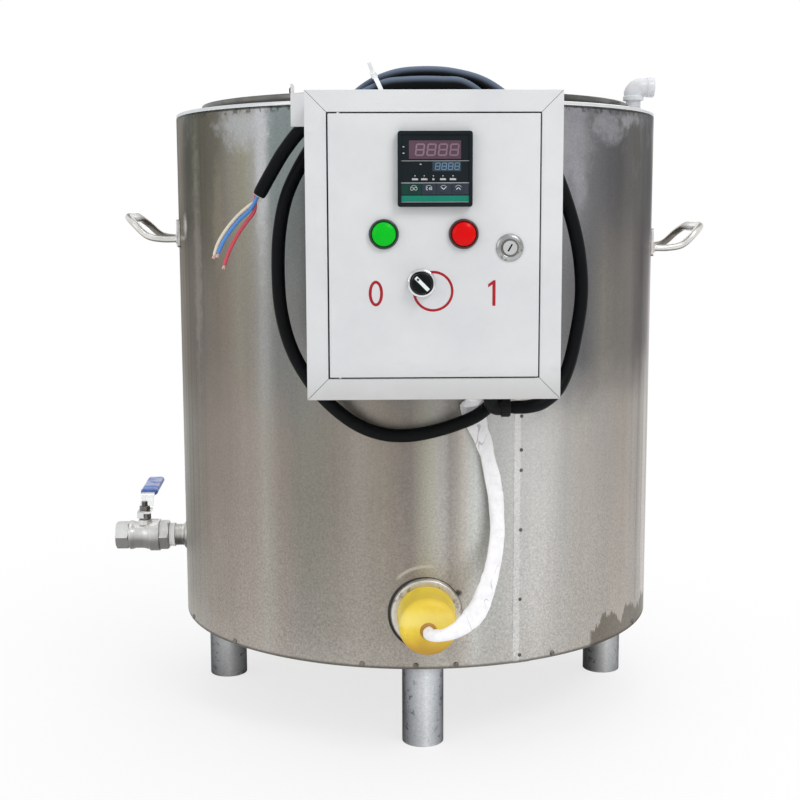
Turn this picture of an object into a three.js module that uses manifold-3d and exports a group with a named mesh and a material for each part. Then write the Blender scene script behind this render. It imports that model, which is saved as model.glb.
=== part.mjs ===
import * as THREE from 'three';
import { mergeVertices } from 'three/addons/utils/BufferGeometryUtils.js';
import Module from 'manifold-3d';

// An electrically heated, water-jacketed melting tank on four pipe legs, with a drain valve,
// an immersion heater and a hinged control box.
// Lengths are in millimetres, with X to the right, Y to the back and Z up from the floor.

const wasm = await Module();
wasm.setup();

// Clearances and facets
const clearance = 0.3;
const overrun = 2;
const weldTolerance = 0.001;
const tankFacets = 48;
const pipeFacets = 18;
const dialFacets = 20;
const smallFacets = 10;
const hexSides = 6;
const quarterTurn = Math.PI / 2;

// Tank
const tankRadius = 300;
const shellHeight = 622;
const shellSheet = 1.5;
const insulationThickness = 5;
const jacketSheet = 2;
const waterSpace = 34;
const potSheet = 1.5;
const potFloorRise = 22;
const topSheet = 1.5;
const topBeadRadius = 2.5;
const collarHeight = 13;
const potRimWidth = 5;
const floorPlateRise = 2;
const floorPlateSheet = 2;
const floorFlangeHeight = 14;
const jacketFloorRise = 18;
const lapWidth = 22;
const lapSheet = 0.8;
const lapAngle = 0.378;

// Legs
const legLength = 102;
const legRadius = 24;
const legWall = 2.5;
const legInset = 50;
const footPlate = 3;

// Lid
const lidOverhang = 9.5;
const lidSheet = 1.2;
const lidSkirt = 9.5;
const lidPanelShare = 0.78;
const lidPanelRise = 5;
const lidKnobRadius = 21;
const lidKnobHeight = 28;

// Carrying handles
const handleWidth = 112;
const handleReach = 58;
const handleRise = 26;
const handleThickness = 8;
const handleDepth = 12;
const handlePlateWidth = 30;
const handlePlateHeight = 34;
const handlePlateDrop = 10;
const handlePlateSheet = 3;
const handleSteps = 18;
const leftHandleLevel = 475;
const rightHandleLevel = 462;

// Drain pipe and ball valve
const drainLevel = 86;
const drainRadius = 14;
const drainWall = 2.5;
const drainReach = 33;
const drainStub = 18;
const weldWidth = 5;
const weldLength = 5;
const tapeLength = 8;
const tapeThickness = 1.4;
const valveSocketLength = 12;
const valveHexRadius = 20;
const valveCollarLength = 13;
const valveCollarRadius = 21;
const valveBarrelLength = 27;
const valveBarrelRadius = 19;
const valveWaistRadius = 17.5;
const valveBoreRadius = 9.5;
const ballRadius = 13.5;
const seatRoom = 2;
const seatBack = 1.5;
const seatSteps = 3;
const endHexLength = 17;
const outletRadius = 13;
const outletDepth = 10;
const bossRadius = 8.5;
const bossRise = 21;
const packingNutHeight = 8.5;
const packingNutRadius = 8;
const stemRadius = 4.2;
const stemRise = 45;
const tangDepth = 2.5;
const tangWidth = 3;
const tangLength = 7;
const leverWidth = 17;
const leverSheet = 3;
const leverLength = 104;
const leverTail = 11;
const leverBendStart = 13;
const leverBendLength = 16;
const leverBendRise = 17;
const leverEndRise = 5;
const leverNutHeight = 5.5;
const leverNutRadius = 7;
const sleeveWall = 2.4;
const sleeveLength = 70;

// Heater
const heaterLevel = 65;
const heaterShift = 2;
const socketRadius = 27;
const socketWall = 3;
const socketReach = 12;
const socketInside = 4;
const escutcheonRadius = 40;
const escutcheonReach = 6;
const heaterHexRadius = 28.4;
const heaterHexLength = 12;
const terminalRadius = 2.5;
const terminalLength = 9;
const rodRadius = 4;
const rodLength = 225;
const rodSpread = 16;
const rodPitch = 11;
const capRadius = 32;
const capWall = 2.5;
const capLength = 52;
const capRounding = 9;
const capHoleDrop = 3;
const leadRadius = 6;

// Water inlet
const inletAngle = 1.158;
const inletInset = 18.5;
const inletRadius = 9;
const inletWall = 1.8;
const inletRise = 22;
const inletDepth = 14;
const elbowRadius = 12.2;
const elbowSocketDepth = 11;
const elbowRise = 27;
const elbowReach = 24;

// Control box
const boxWidth = 250;
const boxHeight = 300;
const boxDepth = 114;
const boxSheet = 1.5;
const boxShift = 4;
const boxStandOff = 26;
const boxRise = 2;
const frameBorder = 21;
const frameLipDepth = 16;
const frameLipSheet = 1.2;
const bracketSheet = 2.5;
const bracketLegDrop = 28;
const hangerWidth = 72;
const hookWidth = 30;
const hookOverlap = 11;
const hookTabRise = 10;
const bracketBearing = 26;
const standWidth = 56;
const standHeight = 34;
const standSheet = 2;
const standRise = 20;
const plateInset = 24;
const plateSheet = 2;
const plateStandOff = 6;
const postRadius = 4;
const contactorWidth = 46;
const contactorHeight = 78;
const contactorDepth = 50;
const contactorStep = 14;
const blockWidth = 90;
const blockHeight = 24;
const blockDepth = 18;
const blockCount = 8;
const blockGroove = 2;

// Door
const doorGap = 1.5;
const doorProud = 2;
const doorSheet = 1.5;
const doorFlange = 12;
const hingeInset = 10;
const hingeDepth = 5.2;
const hingeRadius = 1.9;
const hingeOverhang = 8;

// Controller
const controllerSize = 72;
const controllerRise = 74.5;
const controllerShift = 0.5;
const controllerRounding = 2.5;
const controllerFront = 8;
const controllerBody = 66;
const controllerDepth = 58;
const controllerRim = 4;
const controllerRecess = 1.6;
const windowHeight = 25;
const windowWidth = 58;
const windowRise = 15;
const windowSheet = 1;
const keyWidth = 9.5;
const keyHeight = 7;
const keyPitch = 14.3;
const keyShift = 0.9;
const keyDrop = 18.5;
const keyProud = 1.2;
const keyDepth = 4;
const keyCount = 4;

// Lamps, selector and lock: places from the middle of the box, and the lock's inset from the door's edge
const lampPlaces = { green: -49, red: 28.5 };
const lampRise = 12.4;
const lampRimRadius = 14.6;
const lampRim = 4;
const lampBodyRadius = 10.8;
const lampDepth = 36;
const lensRadius = 11.6;
const lensHeight = 7;
const lensBase = 1.5;
const selectorShift = -12.5;
const selectorDrop = 35;
const selectorRimRadius = 14;
const selectorRim = 4.5;
const selectorBore = 5;
const selectorDepth = 34;
const selectorBlock = 28;
const knobRadius = 11.2;
const knobHeight = 6;
const pointerLength = 25;
const pointerWidth = 7;
const pointerHeight = 11;
const knobTaperShare = 0.86;
const lockInset = 29;
const lockDrop = 1;
const lockRimRadius = 13.5;
const lockRim = 3;
const lockBodyRadius = 9.5;
const plugRadius = 7;
const plugProud = 1.2;
const slotWidth = 1.6;
const slotLength = 8;
const slotDepth = 2.5;
const slotAngle = -0.52;
const camWidth = 12;
const camSheet = 2;
const camOverlap = 7;
const camClearance = 1;

// Glands and cord
const glandShift = 66;
const glandRadius = 8.6;
const glandNutRadius = 10.4;
const glandNutLength = 9;
const glandDrop = 22.5;
const glandReach = 20;
const glandInset = 13;
const leadGlandShift = 43;
const leadRoom = 3.6;
const leadGlandRadius = 10.8;
const leadGlandRim = 1;
const leadGlandInset = 13.8;
const lockNutHeight = 5;
const cordRadius = 7.25;
const cordFacets = 8;
const cordSteps = 62;
const conductorRadius = 1.9;
const conductorFacets = 6;
const conductorSteps = 6;
const leadFacets = 8;
const leadSteps = 32;
const tieWidth = 4.6;
const tieRoom = 2;
const tieSheet = 1.3;
const tieTail = 17;
const tieHead = 6;

// Levels and radii that follow from the sizes above
const shellBottom = legLength;
const shellTop = shellBottom + shellHeight;
const shellInner = tankRadius - shellSheet;
const insulationOuter = shellInner - clearance;
const insulationInner = insulationOuter - insulationThickness;
const jacketOuter = insulationInner - clearance;
const jacketInner = jacketOuter - jacketSheet;
const potOuter = jacketInner - waterSpace;
const potInner = potOuter - potSheet;
const collarInner = potOuter + clearance;
const collarOuter = collarInner + topSheet;
const lidRadius = collarOuter + lidOverhang;
const ringBase = shellTop + clearance;
const ringTop = ringBase + topBeadRadius * 2;
const collarTop = ringBase + collarHeight;
const potRimTop = collarTop + clearance + potSheet;
const lidBase = potRimTop + clearance;
const floorPlateBase = shellBottom + floorPlateRise;
const floorPlateTop = floorPlateBase + floorPlateSheet;
const jacketBase = shellBottom + jacketFloorRise;
const drainHeight = shellBottom + drainLevel;
const heaterHeight = shellBottom + heaterLevel;
const boxBack = -(tankRadius + boxStandOff);
const boxFront = boxBack - boxDepth;
const boxTop = shellTop + boxRise;
const boxBottom = boxTop - boxHeight;
const boxMiddle = boxTop - boxHeight / 2;
const openingWidth = boxWidth - frameBorder * 2;
const openingHeight = boxHeight - frameBorder * 2;
const doorWidth = openingWidth - doorGap * 2;
const doorHeight = openingHeight - doorGap * 2;
const doorFront = boxFront - doorProud;
const doorLeft = boxShift - doorWidth / 2;

// Materials
function finish(color, metalness, roughness) {
  return new THREE.MeshStandardMaterial({ color, metalness, roughness });
}
const brushedSteel = finish(0x98928a, 1, 0.35);
const steel = finish(0xb4b4b2, 1, 0.3);
const stainedSteel = finish(0x969699, 1, 0.5);
const zincSteel = finish(0xa9a79c, 1, 0.5);
const castSteel = finish(0xb9b6ae, 1, 0.4);
const chrome = finish(0xd8dadc, 1, 0.12);
const paint = finish(0xdde0df, 0, 0.5);
const blackPlastic = finish(0x16191c, 0, 0.45);
const darkWindow = finish(0x1a0f12, 0, 0.1);
const greyPlastic = finish(0xb8babb, 0, 0.5);
const greenPlastic = finish(0x05c832, 0, 0.2);
const redPlastic = finish(0xe10f0a, 0, 0.2);
const bluePlastic = finish(0x3c64a0, 0, 0.5);
const whitePlastic = finish(0xf1f1ee, 0, 0.45);
const yellowRubber = finish(0xebcd3c, 0, 0.6);
const blackRubber = finish(0x14181a, 0, 0.6);
const tape = finish(0xf4f4f2, 0, 0.7);
const wool = finish(0xd8cfa8, 0, 0.95);
const glassSleeve = finish(0xf5f3f5, 0, 0.9);
const creamPlastic = finish(0xe8e2cc, 0, 0.5);

const group = new THREE.Group();

function signedVolume(geometry) {
  const places = geometry.attributes.position;
  const order = geometry.index.array;
  const a = new THREE.Vector3();
  const b = new THREE.Vector3();
  const c = new THREE.Vector3();
  let total = 0;
  for (let i = 0; i < order.length; i += 3) {
    a.fromBufferAttribute(places, order[i]);
    b.fromBufferAttribute(places, order[i + 1]);
    c.fromBufferAttribute(places, order[i + 2]);
    total += a.dot(b.cross(c));
  }
  return total;
}

// Joins shared corners, drops triangles that have shrunk to a line and turns the faces outward.
function closed(geometry) {
  const bare = geometry.clone();
  bare.deleteAttribute('normal');
  bare.deleteAttribute('uv');
  bare.clearGroups();
  const welded = mergeVertices(bare, weldTolerance);
  const order = welded.index.array;
  const kept = [];
  for (let i = 0; i < order.length; i += 3) {
    const [a, b, c] = [order[i], order[i + 1], order[i + 2]];
    if (a !== b && b !== c && c !== a) kept.push(a, b, c);
  }
  welded.setIndex(kept);
  if (signedVolume(welded) < 0) {
    for (let i = 0; i < kept.length; i += 3) [kept[i], kept[i + 1]] = [kept[i + 1], kept[i]];
    welded.setIndex(kept);
  }
  return welded;
}

function toSolid(geometry) {
  const shape = closed(geometry);
  return new wasm.Manifold(new wasm.Mesh({
    numProp: 3,
    vertProperties: Float32Array.from(shape.attributes.position.array),
    triVerts: Uint32Array.from(shape.index.array),
  }));
}

function toGeometry(solid) {
  const mesh = solid.getMesh();
  const geometry = new THREE.BufferGeometry();
  geometry.setAttribute('position', new THREE.BufferAttribute(mesh.vertProperties, 3));
  geometry.setIndex(new THREE.BufferAttribute(mesh.triVerts, 1));
  return geometry;
}

function joined(first, ...others) {
  const solid = others.reduce((sum, each) => sum.add(toSolid(each)), toSolid(first));
  return toGeometry(solid);
}

function cut(first, ...others) {
  const solid = others.reduce((rest, each) => rest.subtract(toSolid(each)), toSolid(first));
  return toGeometry(solid);
}

function addPart(name, geometry, material) {
  const shape = closed(geometry).toNonIndexed();
  shape.computeVertexNormals();
  const mesh = new THREE.Mesh(shape, material);
  mesh.name = name;
  group.add(mesh);
  return mesh;
}

// A turned solid round the Z axis, from a closed outline of [radius, height] pairs.
function turned(outline, facets = dialFacets) {
  const points = outline.map(([radius, height]) => new THREE.Vector2(radius, height));
  const touchesAxis = outline[0][0] === 0;
  if (!touchesAxis) points.push(points[0].clone());
  return new THREE.LatheGeometry(points, facets).rotateX(quarterTurn);
}

function pipe(outer, inner, from, to, facets = pipeFacets) {
  return turned([[inner, from], [outer, from], [outer, to], [inner, to]], facets);
}

function disc(radius, from, to, facets = pipeFacets) {
  return turned([[0, from], [radius, from], [radius, to], [0, to]], facets);
}

function block(width, depth, height, x, y, z) {
  return new THREE.BoxGeometry(width, depth, height).translate(x, y, z);
}

// Turn a piece that was drawn up the Z axis so that it points to the front or to the left.
function facingFront(geometry, x, y, z) {
  return geometry.rotateX(quarterTurn).translate(x, y, z);
}
function facingLeft(geometry, x, y, z) {
  return geometry.rotateY(-quarterTurn).translate(x, y, z);
}

function outlineShape(points) {
  return new THREE.Shape(points.map(([x, y]) => new THREE.Vector2(x, y)));
}

function extruded(shape, depth) {
  return new THREE.ExtrudeGeometry(shape, { depth, bevelEnabled: false, curveSegments: 3 });
}

function roundedRectangle(width, height, radius) {
  const [x, y] = [width / 2, height / 2];
  const shape = new THREE.Shape();
  shape.moveTo(radius - x, -y);
  shape.lineTo(x - radius, -y);
  shape.absarc(x - radius, radius - y, radius, -quarterTurn, 0);
  shape.lineTo(x, y - radius);
  shape.absarc(x - radius, y - radius, radius, 0, quarterTurn);
  shape.lineTo(radius - x, y);
  shape.absarc(radius - x, y - radius, radius, quarterTurn, quarterTurn * 2);
  shape.lineTo(-x, radius - y);
  shape.absarc(radius - x, radius - y, radius, quarterTurn * 2, quarterTurn * 3);
  return shape;
}

function hexagon(radius, from, to) {
  return new THREE.CylinderGeometry(radius, radius, to - from, hexSides)
    .rotateX(quarterTurn).translate(0, 0, (from + to) / 2);
}

// A curved strip of sheet on the tank, between two angles measured from the front to the right.
function curvedStrip(inner, outer, middle, width, from, to) {
  const half = width / (inner + outer);
  const steps = 4;
  const points = [];
  for (let i = 0; i <= steps; i += 1) {
    const angle = middle - half + (2 * half * i) / steps;
    points.push([outer * Math.sin(angle), -outer * Math.cos(angle)]);
  }
  for (let i = steps; i >= 0; i -= 1) {
    const angle = middle - half + (2 * half * i) / steps;
    points.push([inner * Math.sin(angle), -inner * Math.cos(angle)]);
  }
  return extruded(outlineShape(points), to - from).translate(0, 0, from);
}

// A line through given places, with one ring of the swept section at each place.
const hairShare = 1e-9;
class Route extends THREE.Curve {
  constructor(places) {
    super();
    this.places = places;
  }
  getPoint(share, target = new THREE.Vector3()) {
    const last = this.places.length - 1;
    const spot = Math.min(share * last, last - hairShare);
    const before = Math.floor(spot);
    return target.lerpVectors(this.places[before], this.places[before + 1], spot - before);
  }
  getSpacedPoints() {
    return this.places.map((place) => place.clone());
  }
  getTangentAt(share, target = new THREE.Vector3()) {
    const last = this.places.length - 1;
    const spot = Math.round(share * last);
    const ahead = this.places[Math.min(spot + 1, last)];
    const behind = this.places[Math.max(spot - 1, 0)];
    return target.subVectors(ahead, behind).normalize();
  }
}

function swept(places, section) {
  const steps = places.length - 1;
  const extrudePath = new Route(places);
  return new THREE.ExtrudeGeometry(section, { steps, bevelEnabled: false, curveSegments: 1, extrudePath });
}

function roundSection(radius, sides) {
  const points = [];
  for (let i = 0; i < sides; i += 1) {
    const angle = (2 * Math.PI * i) / sides;
    points.push([radius * Math.cos(angle), radius * Math.sin(angle)]);
  }
  return outlineShape(points);
}

// A smooth line through the points, with one more ring close to each end so that the ends are square.
const endRingShare = 0.2;
function smoothPlaces(points, steps) {
  const curve = new THREE.CatmullRomCurve3(points.map((p) => new THREE.Vector3(...p)), false, 'centripetal');
  const places = curve.getSpacedPoints(steps);
  const nearEnd = endRingShare / steps;
  places.splice(1, 0, curve.getPointAt(nearEnd));
  places.splice(places.length - 1, 0, curve.getPointAt(1 - nearEnd));
  return places;
}

const tankCutter = disc(tankRadius + clearance, -overrun, shellTop + overrun, tankFacets);

// Outer shell, with its lapped edge and the holes of the drain pipe and the heater socket
const drainHole = (radius) => facingLeft(disc(radius, 0, tankRadius + overrun), 0, 0, drainHeight);
const heaterHole = (radius) => facingFront(disc(radius, 0, tankRadius + overrun, dialFacets),
  heaterShift, 0, heaterHeight);
const passHole = drainRadius + clearance;
const socketHole = socketRadius + clearance;
const lap = curvedStrip(tankRadius - lapSheet / 2, tankRadius + lapSheet, lapAngle, lapWidth,
  shellBottom, shellTop);
const shellWall = pipe(tankRadius, shellInner, shellBottom, shellTop, tankFacets);

addPart('outer_shell', cut(joined(shellWall, lap), drainHole(passHole), heaterHole(socketHole)),
  brushedSteel);

// Top ring, with the rolled outer edge and the collar that the pot hangs on
const beadSteps = 4;
const bead = [];
for (let i = 0; i <= beadSteps; i += 1) {
  const angle = Math.PI - (1.5 * Math.PI * i) / beadSteps;
  bead.push([
    tankRadius - topBeadRadius + topBeadRadius * Math.cos(angle),
    ringBase + topBeadRadius + topBeadRadius * Math.sin(angle),
  ]);
}
bead[0][1] = ringBase + topSheet;
const topRing = turned([
  [collarInner, ringBase],
  [collarInner, collarTop],
  [collarOuter, collarTop],
  [collarOuter, ringBase + topSheet],
  ...bead,
], tankFacets);
const inletSpot = tankRadius - inletInset;
const inletX = inletSpot * Math.sin(inletAngle);
const inletY = -inletSpot * Math.cos(inletAngle);
const inletHole = disc(inletRadius + clearance, shellTop - overrun, ringTop + overrun)
  .translate(inletX, inletY, 0);
addPart('top_ring', cut(topRing, inletHole), steel);

// Floor plate with a turned-up edge
addPart('floor_plate', turned([
  [0, floorPlateBase],
  [shellInner - clearance, floorPlateBase],
  [shellInner - clearance, floorPlateBase + floorFlangeHeight],
  [shellInner - clearance - floorPlateSheet, floorPlateBase + floorFlangeHeight],
  [shellInner - clearance - floorPlateSheet, floorPlateTop],
  [0, floorPlateTop],
], tankFacets), zincSteel);

// Insulation, above the turned-up edge
const insulationBase = floorPlateBase + floorFlangeHeight + clearance;
const insulation = pipe(insulationOuter, insulationInner, insulationBase, shellTop - clearance, tankFacets);
addPart('insulation_wrap', cut(insulation, drainHole(passHole), heaterHole(socketHole)), wool);

// Water jacket: a wall and a floor, hung from the top ring
const jacket = turned([
  [0, jacketBase],
  [jacketOuter, jacketBase],
  [jacketOuter, shellTop - clearance],
  [jacketInner, shellTop - clearance],
  [jacketInner, jacketBase + jacketSheet],
  [0, jacketBase + jacketSheet],
], tankFacets);
addPart('water_jacket', cut(jacket, drainHole(passHole), heaterHole(socketHole)), zincSteel);

// Inner pot, with a rim on the collar and a floor that slopes to the drain
const drainBore = drainRadius - drainWall;
const stubTop = drainHeight + drainStub;
const potFloor = stubTop + clearance;
addPart('inner_pot', turned([
  [drainBore, potFloor],
  [potOuter, potFloor + potFloorRise],
  [potOuter, collarTop + clearance],
  [collarOuter + potRimWidth, collarTop + clearance],
  [collarOuter + potRimWidth, potRimTop],
  [potInner, potRimTop],
  [potInner, potFloor + potFloorRise + potSheet],
  [drainBore, potFloor + potSheet],
], tankFacets), steel);

// Four pipe legs, closed by a foot plate and welded under the floor plate
const legNames = ['leg_front', 'leg_right', 'leg_back', 'leg_left'];
const legTop = floorPlateBase - clearance;
legNames.forEach((name, i) => {
  const leg = turned([
    [0, 0],
    [legRadius, 0],
    [legRadius, legTop],
    [legRadius - legWall, legTop],
    [legRadius - legWall, footPlate],
    [0, footPlate],
  ], pipeFacets);
  addPart(name, leg.translate(0, legInset - tankRadius, 0).rotateZ(quarterTurn * i), stainedSteel);
});

// Lid: raised middle, flat border and a turned-down rim
const lidTop = lidBase + lidSheet;
const panelRadius = lidRadius * lidPanelShare;
const panelTop = lidTop + lidPanelRise;
addPart('lid_panel', turned([
  [0, panelTop - lidSheet],
  [panelRadius - lidPanelRise, panelTop - lidSheet],
  [panelRadius, lidBase],
  [lidRadius - lidSheet, lidBase],
  [lidRadius - lidSheet, lidTop - lidSkirt],
  [lidRadius, lidTop - lidSkirt],
  [lidRadius, lidTop - lidSheet],
  [lidRadius - lidSheet, lidTop],
  [panelRadius, lidTop],
  [panelRadius - lidPanelRise, panelTop],
  [0, panelTop],
], tankFacets), steel);
const knobBase = panelTop + clearance;
const knobShares = [
  [0, 0],
  [0.6, 0],
  [0.43, 0.2],
  [0.43, 0.45],
  [0.9, 0.62],
  [1, 0.76],
  [0.85, 0.93],
  [0.5, 1],
  [0, 1],
];
addPart('lid_knob', turned(knobShares.map(([out, up]) => (
  [out * lidKnobRadius, knobBase + up * lidKnobHeight]
))), blackPlastic);

// A carrying handle on the left, as a bent oval bar on two plates that follow the shell
const barCornerShare = 0.45;
const handleShares = [
  [0, -0.5, 0],
  [0.32, -0.5, 0],
  [0.6, -0.5, 0.14],
  [0.86, -0.47, 0.68],
  [1, -0.36, 0.98],
  [1, -0.12, 1],
];
function carryingHandle(level) {
  const feet = tankRadius + clearance + handlePlateSheet / 2;
  const foot = Math.sqrt(feet ** 2 - (handleWidth / 2) ** 2);
  const half = handleShares.map(([out, along, up]) => [
    -foot - (tankRadius + handleReach - foot) * out,
    along * handleWidth,
    level + up * handleRise,
  ]);
  const mirrored = half.map(([x, y, z]) => [x, -y, z]).reverse();
  const section = roundedRectangle(handleDepth, handleThickness, handleThickness * barCornerShare);
  const bar = swept(smoothPlaces([...half, ...mirrored], handleSteps), section);
  const spread = Math.asin(handleWidth / 2 / feet);
  const plates = [-1, 1].map((side) => curvedStrip(
    tankRadius + clearance,
    tankRadius + clearance + handlePlateSheet,
    side * spread - quarterTurn,
    handlePlateWidth,
    level - handlePlateDrop,
    level - handlePlateDrop + handlePlateHeight,
  ));
  return cut(joined(bar, ...plates), tankCutter);
}
addPart('handle_left', carryingHandle(shellBottom + leftHandleLevel), castSteel);
addPart('handle_right', carryingHandle(shellBottom + rightHandleLevel).rotateZ(Math.PI), castSteel);

// Drain pipe from the sump to the valve, with a flared weld on the shell
const pipeEnd = tankRadius + drainReach;
const pipeRun = facingLeft(disc(drainRadius, -drainRadius, pipeEnd), 0, 0, drainHeight);
const pipeStub = disc(drainRadius, drainHeight - drainBore, stubTop);
const flare = facingLeft(turned([
  [0, 0],
  [drainRadius + weldWidth, 0],
  [drainRadius + weldWidth, tankRadius + clearance + weldLength / 2],
  [drainRadius, tankRadius + clearance + weldLength],
  [0, tankRadius + clearance + weldLength],
], pipeFacets), 0, 0, drainHeight);
const runBore = facingLeft(disc(drainBore, -drainBore, pipeEnd + overrun), 0, 0, drainHeight);
const stubBore = disc(drainBore, drainHeight, stubTop + overrun);
addPart('drain_pipe', cut(joined(pipeRun, pipeStub, cut(flare, tankCutter)), runBore, stubBore), steel);

// Ball valve: body with a hexagon socket, collar and barrel, and a screwed-in end with a hexagon
const socketCoverShare = 0.7;
const socketStart = pipeEnd - valveSocketLength * socketCoverShare;
const collarStart = socketStart + valveSocketLength;
const barrelStart = collarStart + valveCollarLength;
const barrelEnd = barrelStart + valveBarrelLength;
const capEnd = barrelEnd + clearance + endHexLength;
const ballSpot = (collarStart + barrelEnd) / 2;
const cavityRadius = ballRadius + seatRoom;
const tapeRing = pipe(drainRadius + clearance + tapeThickness, drainRadius + clearance,
  socketStart - tapeLength - clearance, socketStart - clearance);
addPart('thread_tape', facingLeft(tapeRing, 0, 0, drainHeight), tape);

const waistShares = [0.3, 0.7];
const bodyRound = turned([
  [0, collarStart],
  [valveCollarRadius, collarStart],
  [valveCollarRadius, barrelStart],
  [valveBarrelRadius, barrelStart],
  ...waistShares.map((share) => [valveWaistRadius, barrelStart + valveBarrelLength * share]),
  [valveBarrelRadius, barrelEnd],
  [0, barrelEnd],
], pipeFacets);
const bodyShape = facingLeft(joined(bodyRound, hexagon(valveHexRadius, socketStart, collarStart + overrun)),
  0, 0, drainHeight);
const boss = disc(bossRadius, drainHeight, drainHeight + bossRise).translate(-ballSpot, 0, 0);
const seatReach = ballRadius + clearance + seatBack;
const seatPocket = ballSpot - seatReach - clearance;
addPart('valve_body', cut(
  joined(bodyShape, boss),
  facingLeft(disc(drainRadius + clearance, socketStart - overrun, pipeEnd + clearance), 0, 0, drainHeight),
  facingLeft(disc(valveBoreRadius, socketStart, barrelEnd + overrun), 0, 0, drainHeight),
  facingLeft(disc(cavityRadius, seatPocket, barrelEnd + overrun), 0, 0, drainHeight),
  disc(stemRadius + clearance, drainHeight, drainHeight + bossRise + overrun).translate(-ballSpot, 0, 0),
), castSteel);

const plugStart = ballSpot + seatReach + clearance;
const endPlug = disc(cavityRadius - clearance, plugStart, barrelEnd + clearance + overrun);
const endShape = joined(endPlug, hexagon(valveHexRadius, barrelEnd + clearance, capEnd));
addPart('valve_end', facingLeft(cut(
  endShape,
  disc(valveBoreRadius, plugStart - overrun, capEnd + overrun),
  disc(outletRadius, capEnd - outletDepth, capEnd + overrun),
), 0, 0, drainHeight), castSteel);

// Each seat is a ring whose hollow face follows the ball, from the edge of the bore outward.
const seatRadius = cavityRadius - clearance;
const seatSphere = ballRadius + clearance + clearance / 3;
const seatAngles = { start: Math.asin(valveBoreRadius / seatSphere), end: 1.13 };
const seatOutline = [[valveBoreRadius, seatReach]];
for (let i = 0; i <= seatSteps; i += 1) {
  const angle = seatAngles.start + ((seatAngles.end - seatAngles.start) * i) / seatSteps;
  seatOutline.push([seatSphere * Math.sin(angle), seatSphere * Math.cos(angle)]);
}
seatOutline.push([seatRadius, seatSphere * Math.cos(seatAngles.end)], [seatRadius, seatReach]);
const seatRing = () => turned(seatOutline, pipeFacets);
addPart('valve_seat_inner', seatRing().rotateY(quarterTurn).translate(-ballSpot, 0, drainHeight), tape);
addPart('valve_seat_outer', facingLeft(seatRing(), -ballSpot, 0, drainHeight), tape);

// Ball with its bore across the pipe, which is how the valve stands when it is shut
const ballRings = 8;
const ballOutline = [];
const boreStart = Math.asin(valveBoreRadius / ballRadius);
for (let i = 0; i <= ballRings; i += 1) {
  const angle = boreStart + ((Math.PI - 2 * boreStart) * i) / ballRings;
  ballOutline.push([ballRadius * Math.sin(angle), -ballRadius * Math.cos(angle)]);
}
const ball = facingFront(turned(ballOutline, pipeFacets), -ballSpot, 0, drainHeight);
const tangSlot = block(tangWidth + clearance * 2, ballRadius * 2, tangDepth * 2 + clearance * 2,
  -ballSpot, 0, drainHeight + ballRadius);
addPart('valve_ball', cut(ball, tangSlot), chrome);

// Stem with its tang, packing nut, lever, lever nut and sleeve
const stemBase = drainHeight + ballRadius + clearance;
const stemTop = drainHeight + stemRise;
const nutBase = drainHeight + bossRise + clearance;
const nutTop = nutBase + packingNutHeight;
addPart('packing_nut', cut(
  hexagon(packingNutRadius, nutBase, nutTop),
  disc(stemRadius + clearance, nutBase - overrun, nutTop + overrun),
).translate(-ballSpot, 0, 0), castSteel);

const leverBase = nutTop + clearance;
const bendEnd = leverBendStart + leverBendLength;
const leverSide = outlineShape([
  [-leverTail, 0],
  [leverBendStart, 0],
  [bendEnd, leverBendRise],
  [leverLength, leverBendRise + leverEndRise],
  [leverLength, leverBendRise + leverEndRise + leverSheet],
  [bendEnd - leverSheet / 2, leverBendRise + leverSheet],
  [leverBendStart - leverSheet / 2, leverSheet],
  [-leverTail, leverSheet],
]);
// The side view is drawn along Y and swept across the width of the lever.
const leverBar = extruded(leverSide, leverWidth).rotateX(quarterTurn).rotateZ(quarterTurn)
  .translate(-leverWidth / 2, 0, 0);
const stopLug = block(leverWidth, leverSheet, packingNutHeight, leverWidth / 2, leverTail, 0);
const stopLugSpot = stopLug.translate(0, -leverSheet / 2, leverSheet - packingNutHeight / 2);
const leverShape = cut(
  joined(leverBar, stopLugSpot),
  disc(stemRadius + clearance, -packingNutHeight, leverSheet + overrun),
).translate(-ballSpot, 0, leverBase);
addPart('valve_lever', leverShape, steel);
const leverNutBase = leverBase + leverSheet + clearance;
addPart('valve_stem', joined(
  disc(stemRadius, stemBase, stemTop),
  block(tangWidth, tangLength, tangDepth * 2, 0, 0, stemBase - clearance),
  hexagon(leverNutRadius, leverNutBase, leverNutBase + leverNutHeight),
).translate(-ballSpot, 0, 0), castSteel);

const sleeveTilt = Math.atan2(leverEndRise, leverLength - bendEnd);
const sleeveThick = leverSheet + (clearance + sleeveWall) * 2;
const sleeveWide = leverWidth + (clearance + sleeveWall) * 2;
const sleeveCorner = sleeveThick / 2 - clearance;
const sleeveOuter = extruded(roundedRectangle(sleeveWide, sleeveThick, sleeveCorner), sleeveLength);
const sleeveInner = block(leverWidth + clearance * 2, leverSheet + clearance * 2, sleeveLength,
  0, 0, sleeveLength / 2 + sleeveWall);
const sleeveMiddle = leverBendRise + leverEndRise + leverSheet / 2;
const sleeve = cut(sleeveOuter, sleeveInner).rotateX(quarterTurn)
  .translate(0, sleeveWall + clearance, 0)
  .rotateX(sleeveTilt)
  .translate(-ballSpot, leverLength, leverBase + sleeveMiddle);
addPart('lever_sleeve', sleeve, bluePlastic);

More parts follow.
